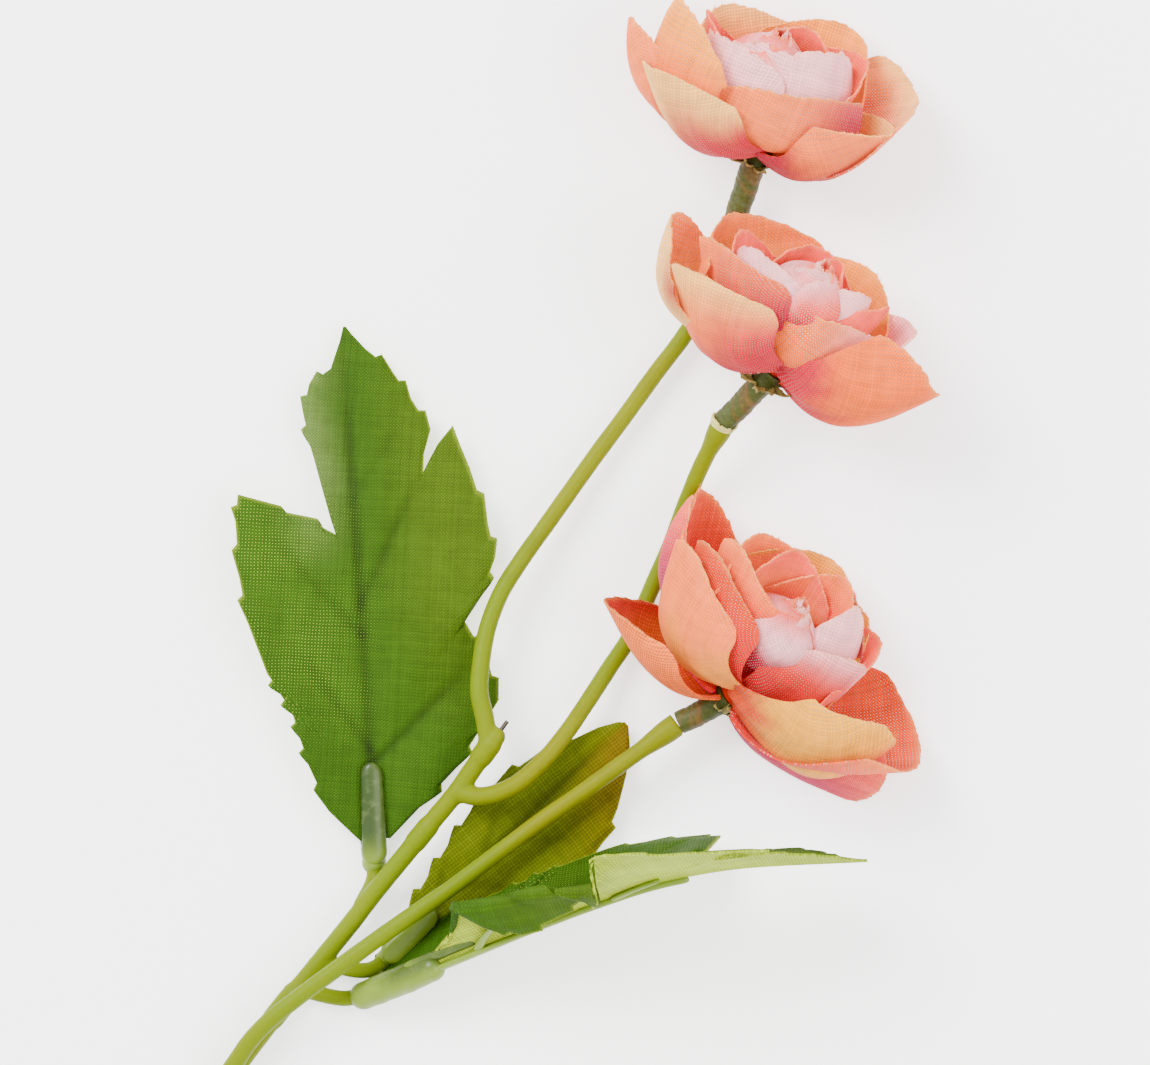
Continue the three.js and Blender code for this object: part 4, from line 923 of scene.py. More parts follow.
def leaf_point(leaf, x, y, foot=None):
    """Points of a leaf, in plan millimetres, x across and y along in the die's own sizes.

    The midrib's route is followed to y. The half that x lies on leaves it at its lean, and is walked
    along in short steps, each turned by the fold: the sums of their cosines and sines place the point.
    """
    x, y = np.broadcast_arrays(np.asarray(x, float), np.asarray(y, float))
    foot = y if foot is None else np.broadcast_to(foot, y.shape)
    tip = leaf["outline"][-1][0]
    route = smooth_route(leaf["rib"], ROUTE_POINTS)
    ahead = unit(np.gradient(route, axis=0))
    shares = np.linspace(0, 1, ROUTE_POINTS)
    part_way = y / tip
    clamped = np.clip(part_way, 0, 1)
    point = np.stack([np.interp(clamped, shares, route[:, k]) for k in range(3)], -1)
    forward = unit(np.stack([np.interp(clamped, shares, ahead[:, k]) for k in range(3)], -1))
    point = point + forward * ((part_way - clamped) * tip * leaf["scale"])[..., None]
    top = np.array(leaf["top"], float)
    up = unit(top - forward * (forward @ top)[..., None])
    right = np.cross(forward, up)
    change = ease(0, LEAN_RUN, foot / tip)
    lean = np.radians(np.where(x < 0, mix(*leaf["left"], change), mix(*leaf["right"], change)))
    low, high, soft = FOLD["low"], FOLD["high"], FOLD["soft"]
    inside = ease(low, low + soft, y) - ease(high - soft, high, y)
    stride = np.abs(x) * leaf["scale"] / WALK_STEPS
    gone = (np.arange(WALK_STEPS) + 0.5) * stride[..., None]
    over = ease(FOLD["start"], FOLD["start"] + FOLD["run"], gone)
    over = np.where((x > 0)[..., None], over, 0) * inside[..., None]
    angle = lean[..., None] - math.radians(leaf["fold"]) * over
    across = np.sign(x) * stride * np.cos(angle).sum(-1)
    raised = stride * np.sin(angle).sum(-1)
    return point + right * across[..., None] + up * raised[..., None]


def toothed(outline):
    """Rows of foot, left x, left y, right x, right y, with a tooth pushed out after each marked row."""
    rows = []
    for k, (foot, left, right, tooth) in enumerate(outline):
        here = np.array([foot, *left, *right], float)
        rows.append(here)
        if tooth:
            there = np.array([outline[k + 1][0], *outline[k + 1][1], *outline[k + 1][2]], float)
            pushed = mix(here, there, 0.5)
            for start, sign in ((1, -1), (3, 1)):
                span = there[start:start + 2] - here[start:start + 2]
                square = np.array([span[1], -span[0]])
                pushed[start:start + 2] += TOOTH_DEPTH * sign * square / np.linalg.norm(span)
            rows += [pushed, mix(here, there, 0.6)]
    return np.array(rows)


def leaf_sheet(leaf, between, columns):
    """Grid of a leaf: x, y and foot at each point. Rows run along the side veins, straight from midrib to
    edge, and are set evenly between the outline's rows."""
    rows = toothed(leaf["outline"])
    at = np.linspace(0, len(rows) - 1, (len(rows) - 1) * between + 1)
    number = np.arange(len(rows))
    foot, left_x, left_y, right_x, right_y = (np.interp(at, number, column) for column in rows.T)
    t = np.linspace(-1, 1, 2 * columns + 1)[None, :]
    share = np.abs(t)
    edge_x = np.where(t < 0, np.minimum(left_x, -0.25)[:, None], np.maximum(right_x, 0.25)[:, None])
    edge_y = np.where(t < 0, left_y[:, None], right_y[:, None])
    x = edge_x * share
    y = foot[:, None] + (edge_y - foot[:, None]) * share
    return x, y, np.broadcast_to(foot[:, None], x.shape), t


def vein_press(leaf, x, y, width):
    """How deep a point lies in a pressed side vein, from 0 to 1: exp(-(d / width)^2) of the distance d to
    each vein, which fades out towards its end."""
    deepest = np.zeros(x.shape)
    for foot, end, strength in leaf["veins"]:
        span = np.array([end[0], end[1] - foot], float)
        place = np.clip((x * span[0] + (y - foot) * span[1]) / (span @ span), 0, 1)
        away = np.hypot(x - place * span[0], y - foot - place * span[1])
        fade = strength * (1 - ease(0.55, 1, place))
        deepest = np.maximum(deepest, fade * np.exp(-(away / width) ** 2))
    return deepest


def leaf_parts(leaf, number):
    """A leaf's blade, pressed with veins, and the pale threads of its cut edge."""
    size = sizes()
    x, y, foot, t = leaf_sheet(leaf, LEAF_MESH["between"], LEAF_MESH["columns"])
    grid = leaf_point(leaf, x, y, foot)
    tip = leaf["outline"][-1][0]
    midrib = 1 - ease(0.75, 1, y / tip)
    middle = midrib * np.exp(-(x / PRESS["midrib"]) ** 2)
    groove = PRESS["groove"] * np.maximum(vein_press(leaf, x, y, PRESS["vein"]), middle)
    puff = PRESS["puff"] * (1 - vein_press(leaf, x, y, 4)) * (1 - np.exp(-(x / 4) ** 2))
    puff = puff + PRESS["unrest"] * wobble(0.17 * x + 0.12 * y, number) * (1 - np.exp(-(x / 5) ** 2))
    lift = (puff - groove) * ease(0, 0.12, 1 - np.abs(t))
    grid = grid - normals(grid) * lift[..., None]
    grid = clear_of_table(plan(grid), size.leaf_fabric)
    light, dark = (dye(name) for name in leaf["upper"].split())
    cloud = 0.75 * ease(-0.7, 0.8, wobble(0.09 * x + 0.05 * y, number + 2) - 0.02 * x)
    if leaf["name"] == "leaf_2":
        cloud = ease(0.6, 1.15, y / tip + 0.25 * t)
    warm = 0.28 * ease(0, 18, x) * ease(0.1, 0.5, y / tip)
    upper = mix(mix(light, dark, cloud[..., None]), dye("leaf_olive"), warm[..., None])
    # Painted highlight: leaf 1's upper lobe is mixed towards a greyish light colour, in place of a soft
    # glossy reflection.
    bloom = np.exp(-((x + 4 + 0.05 * y) / 5) ** 2) * ease(0.5, 0.72, y / tip)
    bloom = (0.42 + 0.15 * wobble(0.3 * y + 0.2 * x, number)) * bloom * (leaf["name"] == "leaf_1")
    upper = mix(upper, dye("leaf_highlight"), bloom[..., None])
    # Painted shade: the pressed veins and the midrib are darkened in the colour, for the shade in their
    # grooves and the shadow of the ribs below showing through the cloth.
    veins = 0.38 * vein_press(leaf, x, y, 1.0) + 0.42 * midrib * np.exp(-(x / 1.2) ** 2)
    upper = upper * (1 - veins)[..., None]
    under = dye(leaf["under"]) * (1 + 0.12 * wobble(0.2 * x + 0.15 * y, number))[..., None]
    rim = ease(0.97, 1, np.abs(t))[..., None] * 0.4
    pale = dye("leaf_pale")
    threads = turned(x, y, math.radians(7)) * (leaf["scale"] * MM / size.leaf_thread)
    # Share of painted light in the weave's holes, larger on the left half and away from the foot.
    thin = leaf["open"] * (0.35 + 0.65 * ease(-6, 10, -x - 0.05 * y) * ease(0.05, 0.3, y / tip))
    parts = [shell(grid, size.leaf_fabric, mix(under, pale, rim), mix(upper, pale, rim), threads, thin)]
    rng = np.random.default_rng(SEEDS["leaf"] + number)
    rows = rng.integers(2, grid.shape[0] - 2, EDGE_THREADS)
    shade = np.broadcast_to(pale * 1.15, (len(rows), 3))
    for edge, inner in ((0, 2), (-1, -3)):
        starts = grid[rows, edge]
        away = unit(starts - grid[rows, inner])
        along = unit(grid[rows + 1, edge] - grid[rows - 1, edge])
        parts.append(loose_threads(starts, away, along, shade, 0.6 * size.fray, rng))
    return parts


class SPRAY_OT_leaves(bpy.types.Operator):
    """Toothed fabric leaves, pressed with veins"""

    bl_idname = "spray.leaves"
    bl_label = "Leaves"

    def execute(self, context):
        for number, leaf in enumerate(LEAVES):
            name = leaf["name"]
            parts = leaf_parts(leaf, number)
            make_object(f"{name}_cloth", parts, leaf_material(), [f"{name}_blade"])
        return {"FINISHED"}


def leaf_frame(leaf, x, y):
    """Points of the leaf, and the way up from its upper face there."""
    step = 0.05
    right = unit(leaf_point(leaf, x + step, y) - leaf_point(leaf, x - step, y))
    ahead = unit(leaf_point(leaf, x, y + step) - leaf_point(leaf, x, y - step))
    return leaf_point(leaf, x, y), unit(np.cross(right, ahead))


def rib(leaf, start, end, widths, thickness, face, shade, count=RIB_RINGS):
    """A moulded rib or tongue on a face of the leaf: a flattened tube along a line, round at both ends.

    face is 1 on the upper face and -1 below. The half width goes from widths[0] to widths[1], and the
    ends close as a half circle.
    """
    s = np.sin(np.linspace(-math.pi / 2, math.pi / 2, count)) / 2 + 0.5
    x, y = (mix(start[k], end[k], s) for k in (0, 1))
    here, up = leaf_frame(leaf, x, y)
    along = unit(np.gradient(here, axis=0))
    side = unit(np.cross(along, up))
    run = math.hypot(end[0] - start[0], end[1] - start[1]) * leaf["scale"]
    short = np.clip(1 - np.minimum(s, 1 - s) * run / (widths[0] / 2), 0, 1)
    round_end = np.sqrt(np.clip(1 - short ** 2, 0.002, 1))
    half = (mix(widths[0], widths[1], s) / 2 * round_end)[:, None] * MM
    high = (thickness / 2 * np.sqrt(round_end))[:, None] * MM
    centre = here + up * (face * (RIB_OFF + thickness / 2 * 0.85))
    return tube(plan(centre), half, high, RIB_SIDES, shade, side, np.cross(side, along))


def holder_parts(leaf):
    """Socket, tongue, midrib and side ribs of a leaf's holder."""
    milk, core = dye("holder"), dye("core")
    tip = leaf["outline"][-1][0]
    long, radius = leaf["socket"]
    rings = 24
    y = np.linspace(-long, 1.5, rings) / leaf["scale"]
    here, up = leaf_frame(leaf, np.zeros(rings), y)
    lumps = radius * (1 + 0.06 * wobble(np.linspace(0, 6, rings), radius))
    path, thin = rounded(here - up * 0.4, lumps)
    # Painted shade: the socket darkens towards the leaf and on one side, for the green core seen through
    # the plastic and the leaf's shadow on it.
    deep = ease(0.25, 0.6, np.linspace(0, 1, len(path)))[:, None, None]
    shaded_side = ease(-0.6, 0.5, -np.cos(ring_angles(SOCKET_SIDES)))[None, :, None]
    shade = mix(milk, core, deep * shaded_side * (0.9 - leaf["clear"]))
    parts = [rod(plan(path), thin * MM, SOCKET_SIDES, shade)]
    # The tongue is darker on one side and over the leaf, in the same mix of core and painted shade.
    across = ease(-0.5, 0.4, -np.cos(ring_angles(RIB_SIDES)))[None, :, None]
    filled = ease(0.08, 0.4, np.linspace(0, 1, RIB_RINGS))[:, None, None] * (1 - leaf["clear"])
    tongue = mix(milk, mix(mix(core, milk, 0.12), core, across), filled)
    for form, face, shade in ((TONGUE, 1, tongue), (SPINE, -1, milk)):
        start, stop = (0, form["start"]), (0, form["share"] * tip)
        parts.append(rib(leaf, start, stop, form["widths"], form["thick"], face, shade))
    form = SIDE_RIB
    for foot, end, _ in leaf["veins"][:form["count"]]:
        share = min(form["share"], form["longest"] / math.hypot(end[0], end[1] - foot))
        start, stop = (0, foot - 1), (end[0] * share, foot + (end[1] - foot) * share)
        parts.append(rib(leaf, start, stop, form["widths"], form["thick"], -1, milk, form["rings"]))
    return parts


class SPRAY_OT_holders(bpy.types.Operator):
    """Milky moulded holders of the leaves"""

    bl_idname = "spray.holders"
    bl_label = "Leaf holders"

    def execute(self, context):
        for leaf in LEAVES:
            name = leaf["name"]
            parts = holder_parts(leaf)
            make_object(f"{name}_moulding", parts, holder_material(), [f"{name}_holder"], 60)
        return {"FINISHED"}


# Stem


def stem_parts():
    """Main stem, collars, branches with their flared ends, and pegs, as tubes that run into each other."""
    size = sizes()
    green = dye("stem")
    main = plan(smooth_route(MAIN_ROUTE, STEM_RINGS))
    s = np.linspace(0, 1, STEM_RINGS)
    whole = np.linalg.norm(np.diff(main, axis=0), axis=1).sum()
    radius = size.stem * (1 + 0.02 * wobble(40 * s, 1))
    for at, run, wide in COLLARS:
        half = run * MM / 2 / whole
        fall = ease(half * 0.75, half * 1.15, np.abs(s - at))
        radius = np.maximum(radius, wide * MM * (1 - 0.35 * fall))
    path, thin = rounded(main, radius, (False, True))
    parts = [rod(path, thin, STEM_SIDES, green)]
    for number, branch in enumerate(BRANCHES):
        path = plan(smooth_route(branch, STEM_RINGS))
        foot = FOOT["more"] * MM * (1 - ease(FOOT["start"], FOOT["end"], s))
        flare = FLARE["more"] * MM * ease(FLARE["start"], FLARE["end"], s)
        radius = size.branch * (1 + 0.015 * wobble(50 * s, number + 3)) + foot + flare
        parts.append(rod(path, radius, STEM_SIDES, green))
    for leaf, peg in zip(LEAVES, PEGS):
        back = leaf["socket"][0] + 0.3
        near, end = leaf_point(leaf, [0, 0], [-(back + 1.5) / leaf["scale"], -back / leaf["scale"]])
        path = plan(smooth_route([peg, near, end], 24))
        parts.append(rod(path, PEG_RADIUS * MM, 20, green))
    return parts


def fused(name, parts, voxel, smoothing):
    """Parts turned into one skin by a voxel mesh, with smoothed joints, as one moulding has."""
    obj = linked(name, bare_mesh(name, joined(parts)))
    remesh = obj.modifiers.new("Skin", "REMESH")
    remesh.mode, remesh.voxel_size, remesh.use_smooth_shade = "VOXEL", voxel, True
    smooth = obj.modifiers.new("Smooth", "SMOOTH")
    smooth.factor, smooth.iterations = 0.5, smoothing
    skin = bpy.data.meshes.new_from_object(obj.evaluated_get(bpy.context.evaluated_depsgraph_get()))
    obj.modifiers.clear()
    obj.data = skin
    skin.name = name
    return obj


class SPRAY_OT_stem(bpy.types.Operator):
    """Moulded stem with its branches, collars and leaf pegs"""

    bl_idname = "spray.stem"
    bl_label = "Stem"

    def execute(self, context):
        obj = fused("stem_moulding", stem_parts(), sizes().voxel, 4)
        obj.data.materials.clear()
        obj.data.materials.append(stem_material())
        declare(obj, ["main_stem"])
        return {"FINISHED"}


class SPRAY_OT_wire(bpy.types.Operator):
    """Steel wire in the main stem, whose cut tip stands out of its top"""

    bl_idname = "spray.wire"
    bl_label = "Wire"

    def execute(self, context):
        route = np.array(MAIN_ROUTE, float)
        first = route[0] - unit(route[1] - route[0]) * WIRE["below"]
        last = route[-1] + unit(route[-1] - route[-2]) * WIRE["above"]
        path = plan(smooth_route([first, *route[1:], last], WIRE["rings"]))
        parts = [rod(path, sizes().wire, WIRE["sides"], dye("steel"))]
        make_object("steel_wire", parts, wire_material(), ["stem_wire"])
        return {"FINISHED"}


# Materials

WHITE = (1.0, 1.0, 1.0, 1.0)
# PETAL_GAP and LEAF_GAP are painted light that shines through between the threads; DARK_GAP is painted
# shade there.
PETAL_GAP = (1.0, 0.9, 0.8, 1.0)  # light between the threads of a petal
LEAF_GAP = (0.38, 0.52, 0.05, 1.0)  # the same of a leaf
DARK_GAP = (0.25, 0.08, 0.02, 1.0)  # shade between threads
HOLDER_CLOUD = (0.35, 0.45, 0.15, 1.0)
DRAWN_MARKS = (0.08, 0.06, 0.05, 1.0)
FLOOR_CLOUD = (0.93, 0.93, 0.93, 1.0)
DRIFT = 0.12  # how fast the slow bends of the threads change
THREAD_POWER = 0.7
OVER = 0.38  # how far the thread on top stands out, as a share


class Nodes:
    """Short ways to add and link shader nodes in one tree."""

    def __init__(self, tree):
        self.tree = tree
        self.tree.nodes.clear()

    def add(self, kind, **settings):
        """A new node of this kind, with its settings."""
        node = self.tree.nodes.new("ShaderNode" + kind)
        for name, value in settings.items():
            setattr(node, name, value)
        return node

    def put(self, value, socket):
        """Links a socket to another one, or gives it a value."""
        if isinstance(value, bpy.types.NodeSocket):
            self.tree.links.new(value, socket)
        else:
            socket.default_value = value

    def math(self, operation, *values):
        """The result of a sum on sockets and numbers."""
        node = self.add("Math", operation=operation)
        for value, socket in zip(values, node.inputs):
            self.put(value, socket)
        return node.outputs[0]

    def blend(self, factor, one, two, kind="MIX"):
        """Two colours blended by a factor."""
        node = self.add("Mix", data_type="RGBA", blend_type=kind)
        for value, socket in zip((factor, one, two), (node.inputs[0], node.inputs[6], node.inputs[7])):
            self.put(value, socket)
        return node.outputs[2]

    def noise(self, scale, detail, roughness=0.5, *, vector):
        """Soft random values from 0 to 1 at a place."""
        node = self.add("TexNoise")
        inputs = {"Scale": scale, "Detail": detail, "Roughness": roughness, "Vector": vector}
        for name, value in inputs.items():
            self.put(value, node.inputs[name])
        return node.outputs["Fac"]

    def spread(self, value, low, high, bottom=0.0, top=1.0):
        """A value from low to high, spread out from bottom to top."""
        node = self.add("MapRange")
        for number, put in zip((0, 1, 2, 3, 4), (value, low, high, bottom, top)):
            self.put(put, node.inputs[number])
        return node.outputs[0]

    def group(self, tree, **values):
        """A node group with these inputs."""
        node = self.add("Group")
        node.node_tree = tree
        for name, value in values.items():
            self.put(value, node.inputs[name])
        return node

    def bump(self, height, distance, strength):
        """A normal tilted by the height, whose 1 stands for a distance in metres."""
        node = self.add("Bump")
        node.inputs["Strength"].default_value = strength
        node.inputs["Distance"].default_value = distance
        self.put(height, node.inputs["Height"])
        return node.outputs["Normal"]

    def place(self):
        """Where a point lies on its object, in metres."""
        return self.add("TexCoord").outputs["Object"]

    def read(self, name, output="Color"):
        """A value that the mesh keeps at its points."""
        return self.add("Attribute", attribute_name=name).outputs[output]

    def thin(self, body, cloth, share):
        """The body with a share of its light coming through from behind, in the cloth's colour."""
        through = self.add("BsdfTranslucent")
        self.put(cloth, through.inputs["Color"])
        both = self.add("MixShader")
        for value, socket in zip((share, body.outputs[0], through.outputs[0]), both.inputs):
            self.put(value, socket)
        return both.outputs[0]

    def surface(self, **values):
        """A Principled shader with these inputs."""
        node = self.add("BsdfPrincipled")
        for name, value in values.items():
            self.put(value, node.inputs[name.replace("_", " ")])
        return node


def rgb(name):
    """Four values of a named dye, as a colour socket takes them."""
    return (*dye(name), 1.0)


def cached(name, build):
    """A material by its name, built the first time that it is asked for."""
    found = bpy.data.materials.get(name)
    if found:
        return found
    material = bpy.data.materials.new(name)
    material.use_nodes = True
    nodes = Nodes(material.node_tree)
    shader = build(nodes)
    nodes.put(shader, nodes.add("OutputMaterial").inputs["Surface"])
    return material


def weave_group():
    """Plain weave on thread coordinates, where each whole number is one thread.

    A thread's rise is |sin pi x|^0.7, and sin pi x sin pi y says which of the two lies on top. Height is
    the higher of the two, Hole is the corner where both are low, and Slub is the mean of a random value
    for each of the two threads.
    """
    found = bpy.data.node_groups.get("Woven threads")
    if found:
        return found
    tree = bpy.data.node_groups.new("Woven threads", "ShaderNodeTree")
    for name, kind in (("Threads", "NodeSocketVector"), ("Unrest", "NodeSocketFloat")):
        tree.interface.new_socket(name, in_out="INPUT", socket_type=kind)
    for name in ("Height", "Hole", "Slub"):
        tree.interface.new_socket(name, in_out="OUTPUT", socket_type="NodeSocketFloat")
    nodes = Nodes(tree)
    inputs, outputs = tree.nodes.new("NodeGroupInput"), tree.nodes.new("NodeGroupOutput")
    threads = inputs.outputs["Threads"]
    drift = nodes.add("TexNoise")
    drift.inputs["Scale"].default_value = DRIFT
    nodes.put(threads, drift.inputs["Vector"])
    shift = nodes.add("VectorMath", operation="SCALE")
    nodes.put(drift.outputs["Color"], shift.inputs[0])
    nodes.put(inputs.outputs["Unrest"], shift.inputs["Scale"])
    moved = nodes.add("VectorMath", operation="ADD")
    nodes.put(threads, moved.inputs[0])
    nodes.put(shift.outputs[0], moved.inputs[1])
    split = nodes.add("SeparateXYZ")
    nodes.put(moved.outputs[0], split.inputs[0])
    waves = [nodes.math("SINE", nodes.math("MULTIPLY", split.outputs[k], math.pi)) for k in (0, 1)]
    rises = [nodes.math("POWER", nodes.math("ABSOLUTE", wave), THREAD_POWER) for wave in waves]
    crossing = nodes.math("MULTIPLY", waves[0], waves[1])
    heights = [
        nodes.math("MULTIPLY", rise, nodes.math("MULTIPLY_ADD", crossing, share, 1 - OVER))
        for rise, share in zip(rises, (OVER, -OVER))
    ]
    nodes.put(nodes.math("MAXIMUM", *heights), outputs.inputs["Height"])
    low = nodes.math("MAXIMUM", *rises)
    nodes.put(nodes.spread(low, 0.42, 0.72, 1.0, 0.0), outputs.inputs["Hole"])
    lines = []
    for k in (0, 1):
        floor = nodes.math("FLOOR", split.outputs[k])
        noise = nodes.add("TexWhiteNoise", noise_dimensions="1D")
        nodes.put(floor, noise.inputs["W"])
        lines.append(noise.outputs["Value"])
    nodes.put(nodes.math("MULTIPLY", nodes.math("ADD", *lines), 0.5), outputs.inputs["Slub"])
    return tree


def woven(nodes, lightness, light, unrest=1.6):
    """Dye, weave heights and cloth colour that petals and leaves share, with painted light in the holes
    between threads where gap is above 0 and painted shade where it is below.
    """
    dyed_cloth = nodes.read("dye")
    gap = nodes.read("gap", "Fac")
    threads = nodes.add("UVMap", uv_map="threads").outputs["UV"]
    weave = nodes.group(weave_group(), Threads=threads, Unrest=unrest)
    height, hole = weave.outputs["Height"], weave.outputs["Hole"]
    place = nodes.place()
    mottle = nodes.spread(nodes.noise(420.0, 3.0, vector=place), 0.3, 0.7, 0.92, 1.08)
    slub = nodes.spread(weave.outputs["Slub"], 0.0, 1.0, 0.86, 1.12)
    rise = nodes.spread(height, 0.2, 0.95, 0.5, 1.18)
    tone = nodes.math("MULTIPLY", nodes.math("MULTIPLY", mottle, slub), rise)
    cloth = nodes.blend(1.0, dyed_cloth, tone, "MULTIPLY")
    patch = nodes.spread(nodes.noise(75.0, 3.0, vector=place), 0.38, 0.62, 0.35, 1.0)
    # Painted light shows through the holes between threads, and painted shade darkens them where gap is
    # below 0.
    lit = nodes.math("MULTIPLY", nodes.math("MULTIPLY", hole, patch), nodes.math("MAXIMUM", gap, 0.0))
    cloth = nodes.blend(nodes.math("MULTIPLY", lit, lightness), cloth, light)
    dark = nodes.math("MULTIPLY", hole, nodes.math("MAXIMUM", nodes.math("MULTIPLY", gap, -1.0), 0.0))
    cloth = nodes.blend(nodes.math("MULTIPLY", dark, 0.75), cloth, DARK_GAP)
    return cloth, height


def petal_material():
    """Woven petal cloth that a little light shines through, with a faint painted glow in its own colour in
    place of more light coming through the cloth.
    """
    def build(nodes):
        cloth, height = woven(nodes, 0.8, PETAL_GAP)
        normal = nodes.bump(height, 0.00012, 0.5)
        # Emission in the cloth's own colour is a painted glow that brightens the shaded petals.
        body = nodes.surface(
            Base_Color=cloth, Roughness=0.75, Normal=normal, Sheen_Weight=0.05, Sheen_Roughness=0.4,
            Specular_IOR_Level=0.12, Emission_Color=cloth, Emission_Strength=0.25,
        )
        return nodes.thin(body, cloth, 0.22)
    return cached("Petal cloth", build)


def leaf_material():
    """Printed leaf cloth of an open weave."""
    def build(nodes):
        cloth, height = woven(nodes, 0.75, LEAF_GAP, 1.2)
        normal = nodes.bump(height, 0.00014, 0.7)
        body = nodes.surface(Base_Color=cloth, Roughness=0.62, Normal=normal, Specular_IOR_Level=0.08)
        return nodes.thin(body, cloth, 0.12)
    return cached("Leaf cloth", build)


def stem_material():
    """Satin moulded plastic, with warmer and scuffed stretches."""
    def build(nodes):
        place = nodes.place()
        warm = nodes.spread(nodes.noise(22.0, 2.0, vector=place), 0.45, 0.7)
        scuffed = nodes.spread(nodes.noise(60.0, 4.0, 0.6, vector=place), 0.6, 0.75)
        shade = nodes.blend(warm, rgb("stem"), rgb("stem_warm"))
        shade = nodes.blend(nodes.math("MULTIPLY", scuffed, 0.35), shade, rgb("stem_dark"))
        fine = nodes.noise(900.0, 3.0, vector=place)
        rough = nodes.spread(fine, 0.3, 0.7, 0.36, 0.5)
        body = nodes.surface(
            Base_Color=shade, Roughness=rough, Specular_IOR_Level=0.06, Subsurface_Weight=0.15,
            Subsurface_Radius=(0.004, 0.004, 0.001), Subsurface_Scale=0.4,
            Normal=nodes.bump(fine, 0.00005, 0.4),
        )
        return body.outputs[0]
    return cached("Stem plastic", build)


def holder_material():
    """Milky plastic with faint clouds."""
    def build(nodes):
        shade = nodes.read("dye")
        place = nodes.place()
        cloud = nodes.noise(500.0, 4.0, 0.6, vector=place)
        milky = nodes.blend(nodes.spread(cloud, 0.5, 0.8, 0.0, 0.2), shade, HOLDER_CLOUD)
        body = nodes.surface(
            Base_Color=milky, Roughness=0.38, Specular_IOR_Level=0.3, Coat_Weight=0.15,
            Normal=nodes.bump(cloud, 0.0001, 0.5),
        )
        return nodes.thin(body, milky, 0.3)
    return cached("Holder plastic", build)


def calyx_material():
    """Rough dark tape."""
    def build(nodes):
        shade = nodes.read("dye")
        place = nodes.place()
        grain = nodes.noise(1400.0, 4.0, 0.6, vector=place)
        tone = nodes.spread(grain, 0.3, 0.75, 0.7, 1.35)
        body = nodes.surface(
            Base_Color=nodes.blend(1.0, shade, tone, "MULTIPLY"), Roughness=0.5, Specular_IOR_Level=0.2,
            Normal=nodes.bump(grain, 0.0002, 0.6),
        )
        return body.outputs[0]
    return cached("Calyx tape", build)


def wire_material():
    """Bare steel with drawn marks along it."""
    def build(nodes):
        place = nodes.place()
        drawn = nodes.noise(2600.0, 3.0, vector=place)
        shade = nodes.blend(nodes.spread(drawn, 0.4, 0.7), rgb("steel"), DRAWN_MARKS)
        body = nodes.surface(
            Base_Color=shade, Metallic=1.0, Roughness=nodes.spread(drawn, 0.3, 0.7, 0.25, 0.5)
        )
        return body.outputs[0]
    return cached("Bare steel", build)


def floor_material():
    """Pale table that gives off a little light of its own."""
    def build(nodes):
        place = nodes.place()
        cloud = nodes.spread(nodes.noise(3.0, 2.0, vector=place), 0.3, 0.7)
        shade = nodes.blend(cloud, rgb("floor"), FLOOR_CLOUD)
        return nodes.surface(
            Base_Color=shade, Roughness=0.9, Specular_IOR_Level=0.1,
            Emission_Color=WHITE, Emission_Strength=1.3,
        ).outputs[0]
    return cached("Pale table", build)


# Stage

VIEW = dict(centre=(13.03, 21.53), width=212.75, level=15, distance=4000)  # the photograph's frame, mm
SENSOR = 36.0
TABLE = 4.0  # half its side, in metres
SKY = 2.0  # strength of the white surroundings
# Soft lights: name, place, size and power.
LIGHTS = (("key", (-0.9, 0.9, 1.5), 0.9, 76.0), ("fill", (1.1, -0.2, 1.4), 1.2, 28.0))


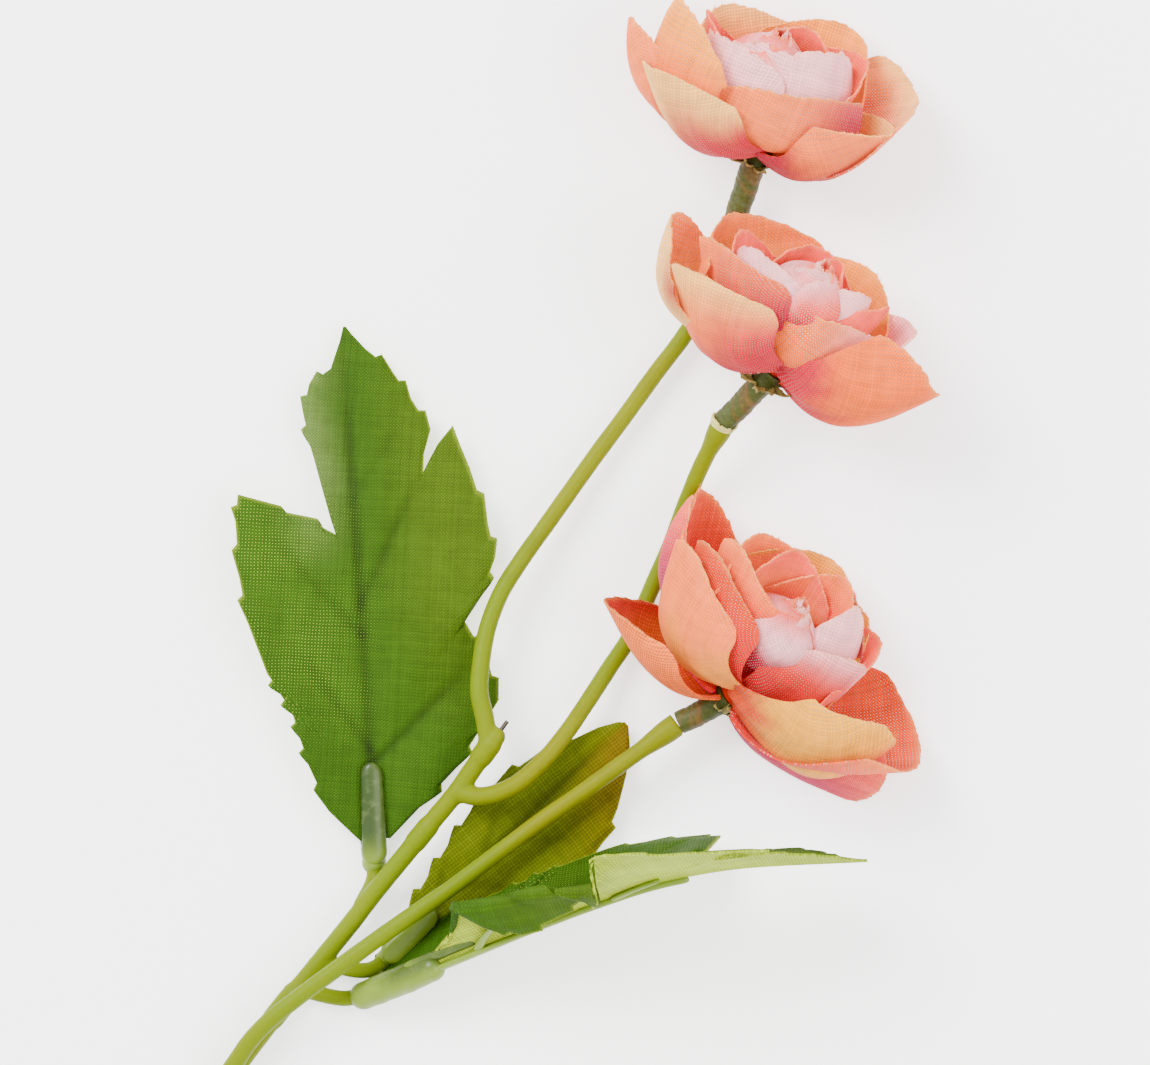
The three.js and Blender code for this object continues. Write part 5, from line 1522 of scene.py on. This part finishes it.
class SPRAY_OT_stage(bpy.types.Operator):
    """Pale table, soft lights and the camera that looks straight down"""

    bl_idname = "spray.stage"
    bl_label = "Stage"

    def execute(self, context):
        scene = context.scene
        mesh = bpy.data.meshes.new("table")
        corners = [(x * TABLE, y * TABLE, 0) for x, y in ((-1, -1), (1, -1), (1, 1), (-1, 1))]
        mesh.from_pydata(corners, [], [(0, 1, 2, 3)])
        mesh.materials.append(floor_material())
        table = linked("table", mesh)
        camera = bpy.data.cameras.new("camera")
        camera.sensor_width = SENSOR
        camera.lens = SENSOR * (VIEW["distance"] - VIEW["level"]) / VIEW["width"]
        camera.clip_start, camera.clip_end = 0.1, 20
        eye = linked("camera", camera)
        eye.location = (VIEW["centre"][0] * MM, VIEW["centre"][1] * MM, VIEW["distance"] * MM)
        scene.camera = eye
        world = bpy.data.worlds.new("studio") if scene.world is None else scene.world
        scene.world = world
        world.use_nodes = True
        background = world.node_tree.nodes["Background"]
        background.inputs["Color"].default_value = WHITE
        background.inputs["Strength"].default_value = SKY
        for name, place, size, energy in LIGHTS:
            light = bpy.data.lights.new(name, "AREA")
            light.size, light.energy = size, energy
            lamp = linked(name, light)
            lamp.location = place
            away = -np.array(place)
            lamp.rotation_mode = "QUATERNION"
            lamp.rotation_quaternion = Vector(away).to_track_quat("-Z", "Y")
        return {"FINISHED"}


class SPRAY_PT_panel(bpy.types.Panel):
    """Sizes, dyes and pieces of the spray"""

    bl_idname = "SPRAY_PT_panel"
    bl_label = "Ranunculus spray"
    bl_space_type = "VIEW_3D"
    bl_region_type = "UI"
    bl_category = "Spray"

    def draw(self, context):
        for group in (context.scene.spray_sizes, context.scene.spray_colours):
            box = self.layout.box()
            for name in group.bl_rna.properties.keys():
                if name not in ("rna_type", "name"):
                    box.prop(group, name)
        for operator in OPERATORS:
            self.layout.operator(operator.bl_idname)


OPERATORS = (
    SPRAY_OT_stem, SPRAY_OT_wire, SPRAY_OT_calyxes, SPRAY_OT_outer_petals, SPRAY_OT_inner_petals,
    SPRAY_OT_leaves, SPRAY_OT_holders, SPRAY_OT_stage,
)
CLASSES = (SPRAY_PG_sizes, SPRAY_PG_colours, *OPERATORS, SPRAY_PT_panel)


def register():
    """Adds the spray's panel, operators and settings."""
    for item in CLASSES:
        bpy.utils.register_class(item)
    bpy.types.Scene.spray_sizes = PointerProperty(type=SPRAY_PG_sizes)
    bpy.types.Scene.spray_colours = PointerProperty(type=SPRAY_PG_colours)


def unregister():
    """Takes them away again."""
    del bpy.types.Scene.spray_colours
    del bpy.types.Scene.spray_sizes
    for item in reversed(CLASSES):
        bpy.utils.unregister_class(item)


def main():
    """Builds the spray and its stage."""
    register()
    bpy.ops.spray.stem()
    bpy.ops.spray.wire()
    bpy.ops.spray.calyxes()
    bpy.ops.spray.outer_petals()
    bpy.ops.spray.inner_petals()
    bpy.ops.spray.leaves()
    bpy.ops.spray.holders()
    bpy.ops.spray.stage()
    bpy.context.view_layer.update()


if __name__ == "__main__":
    main()
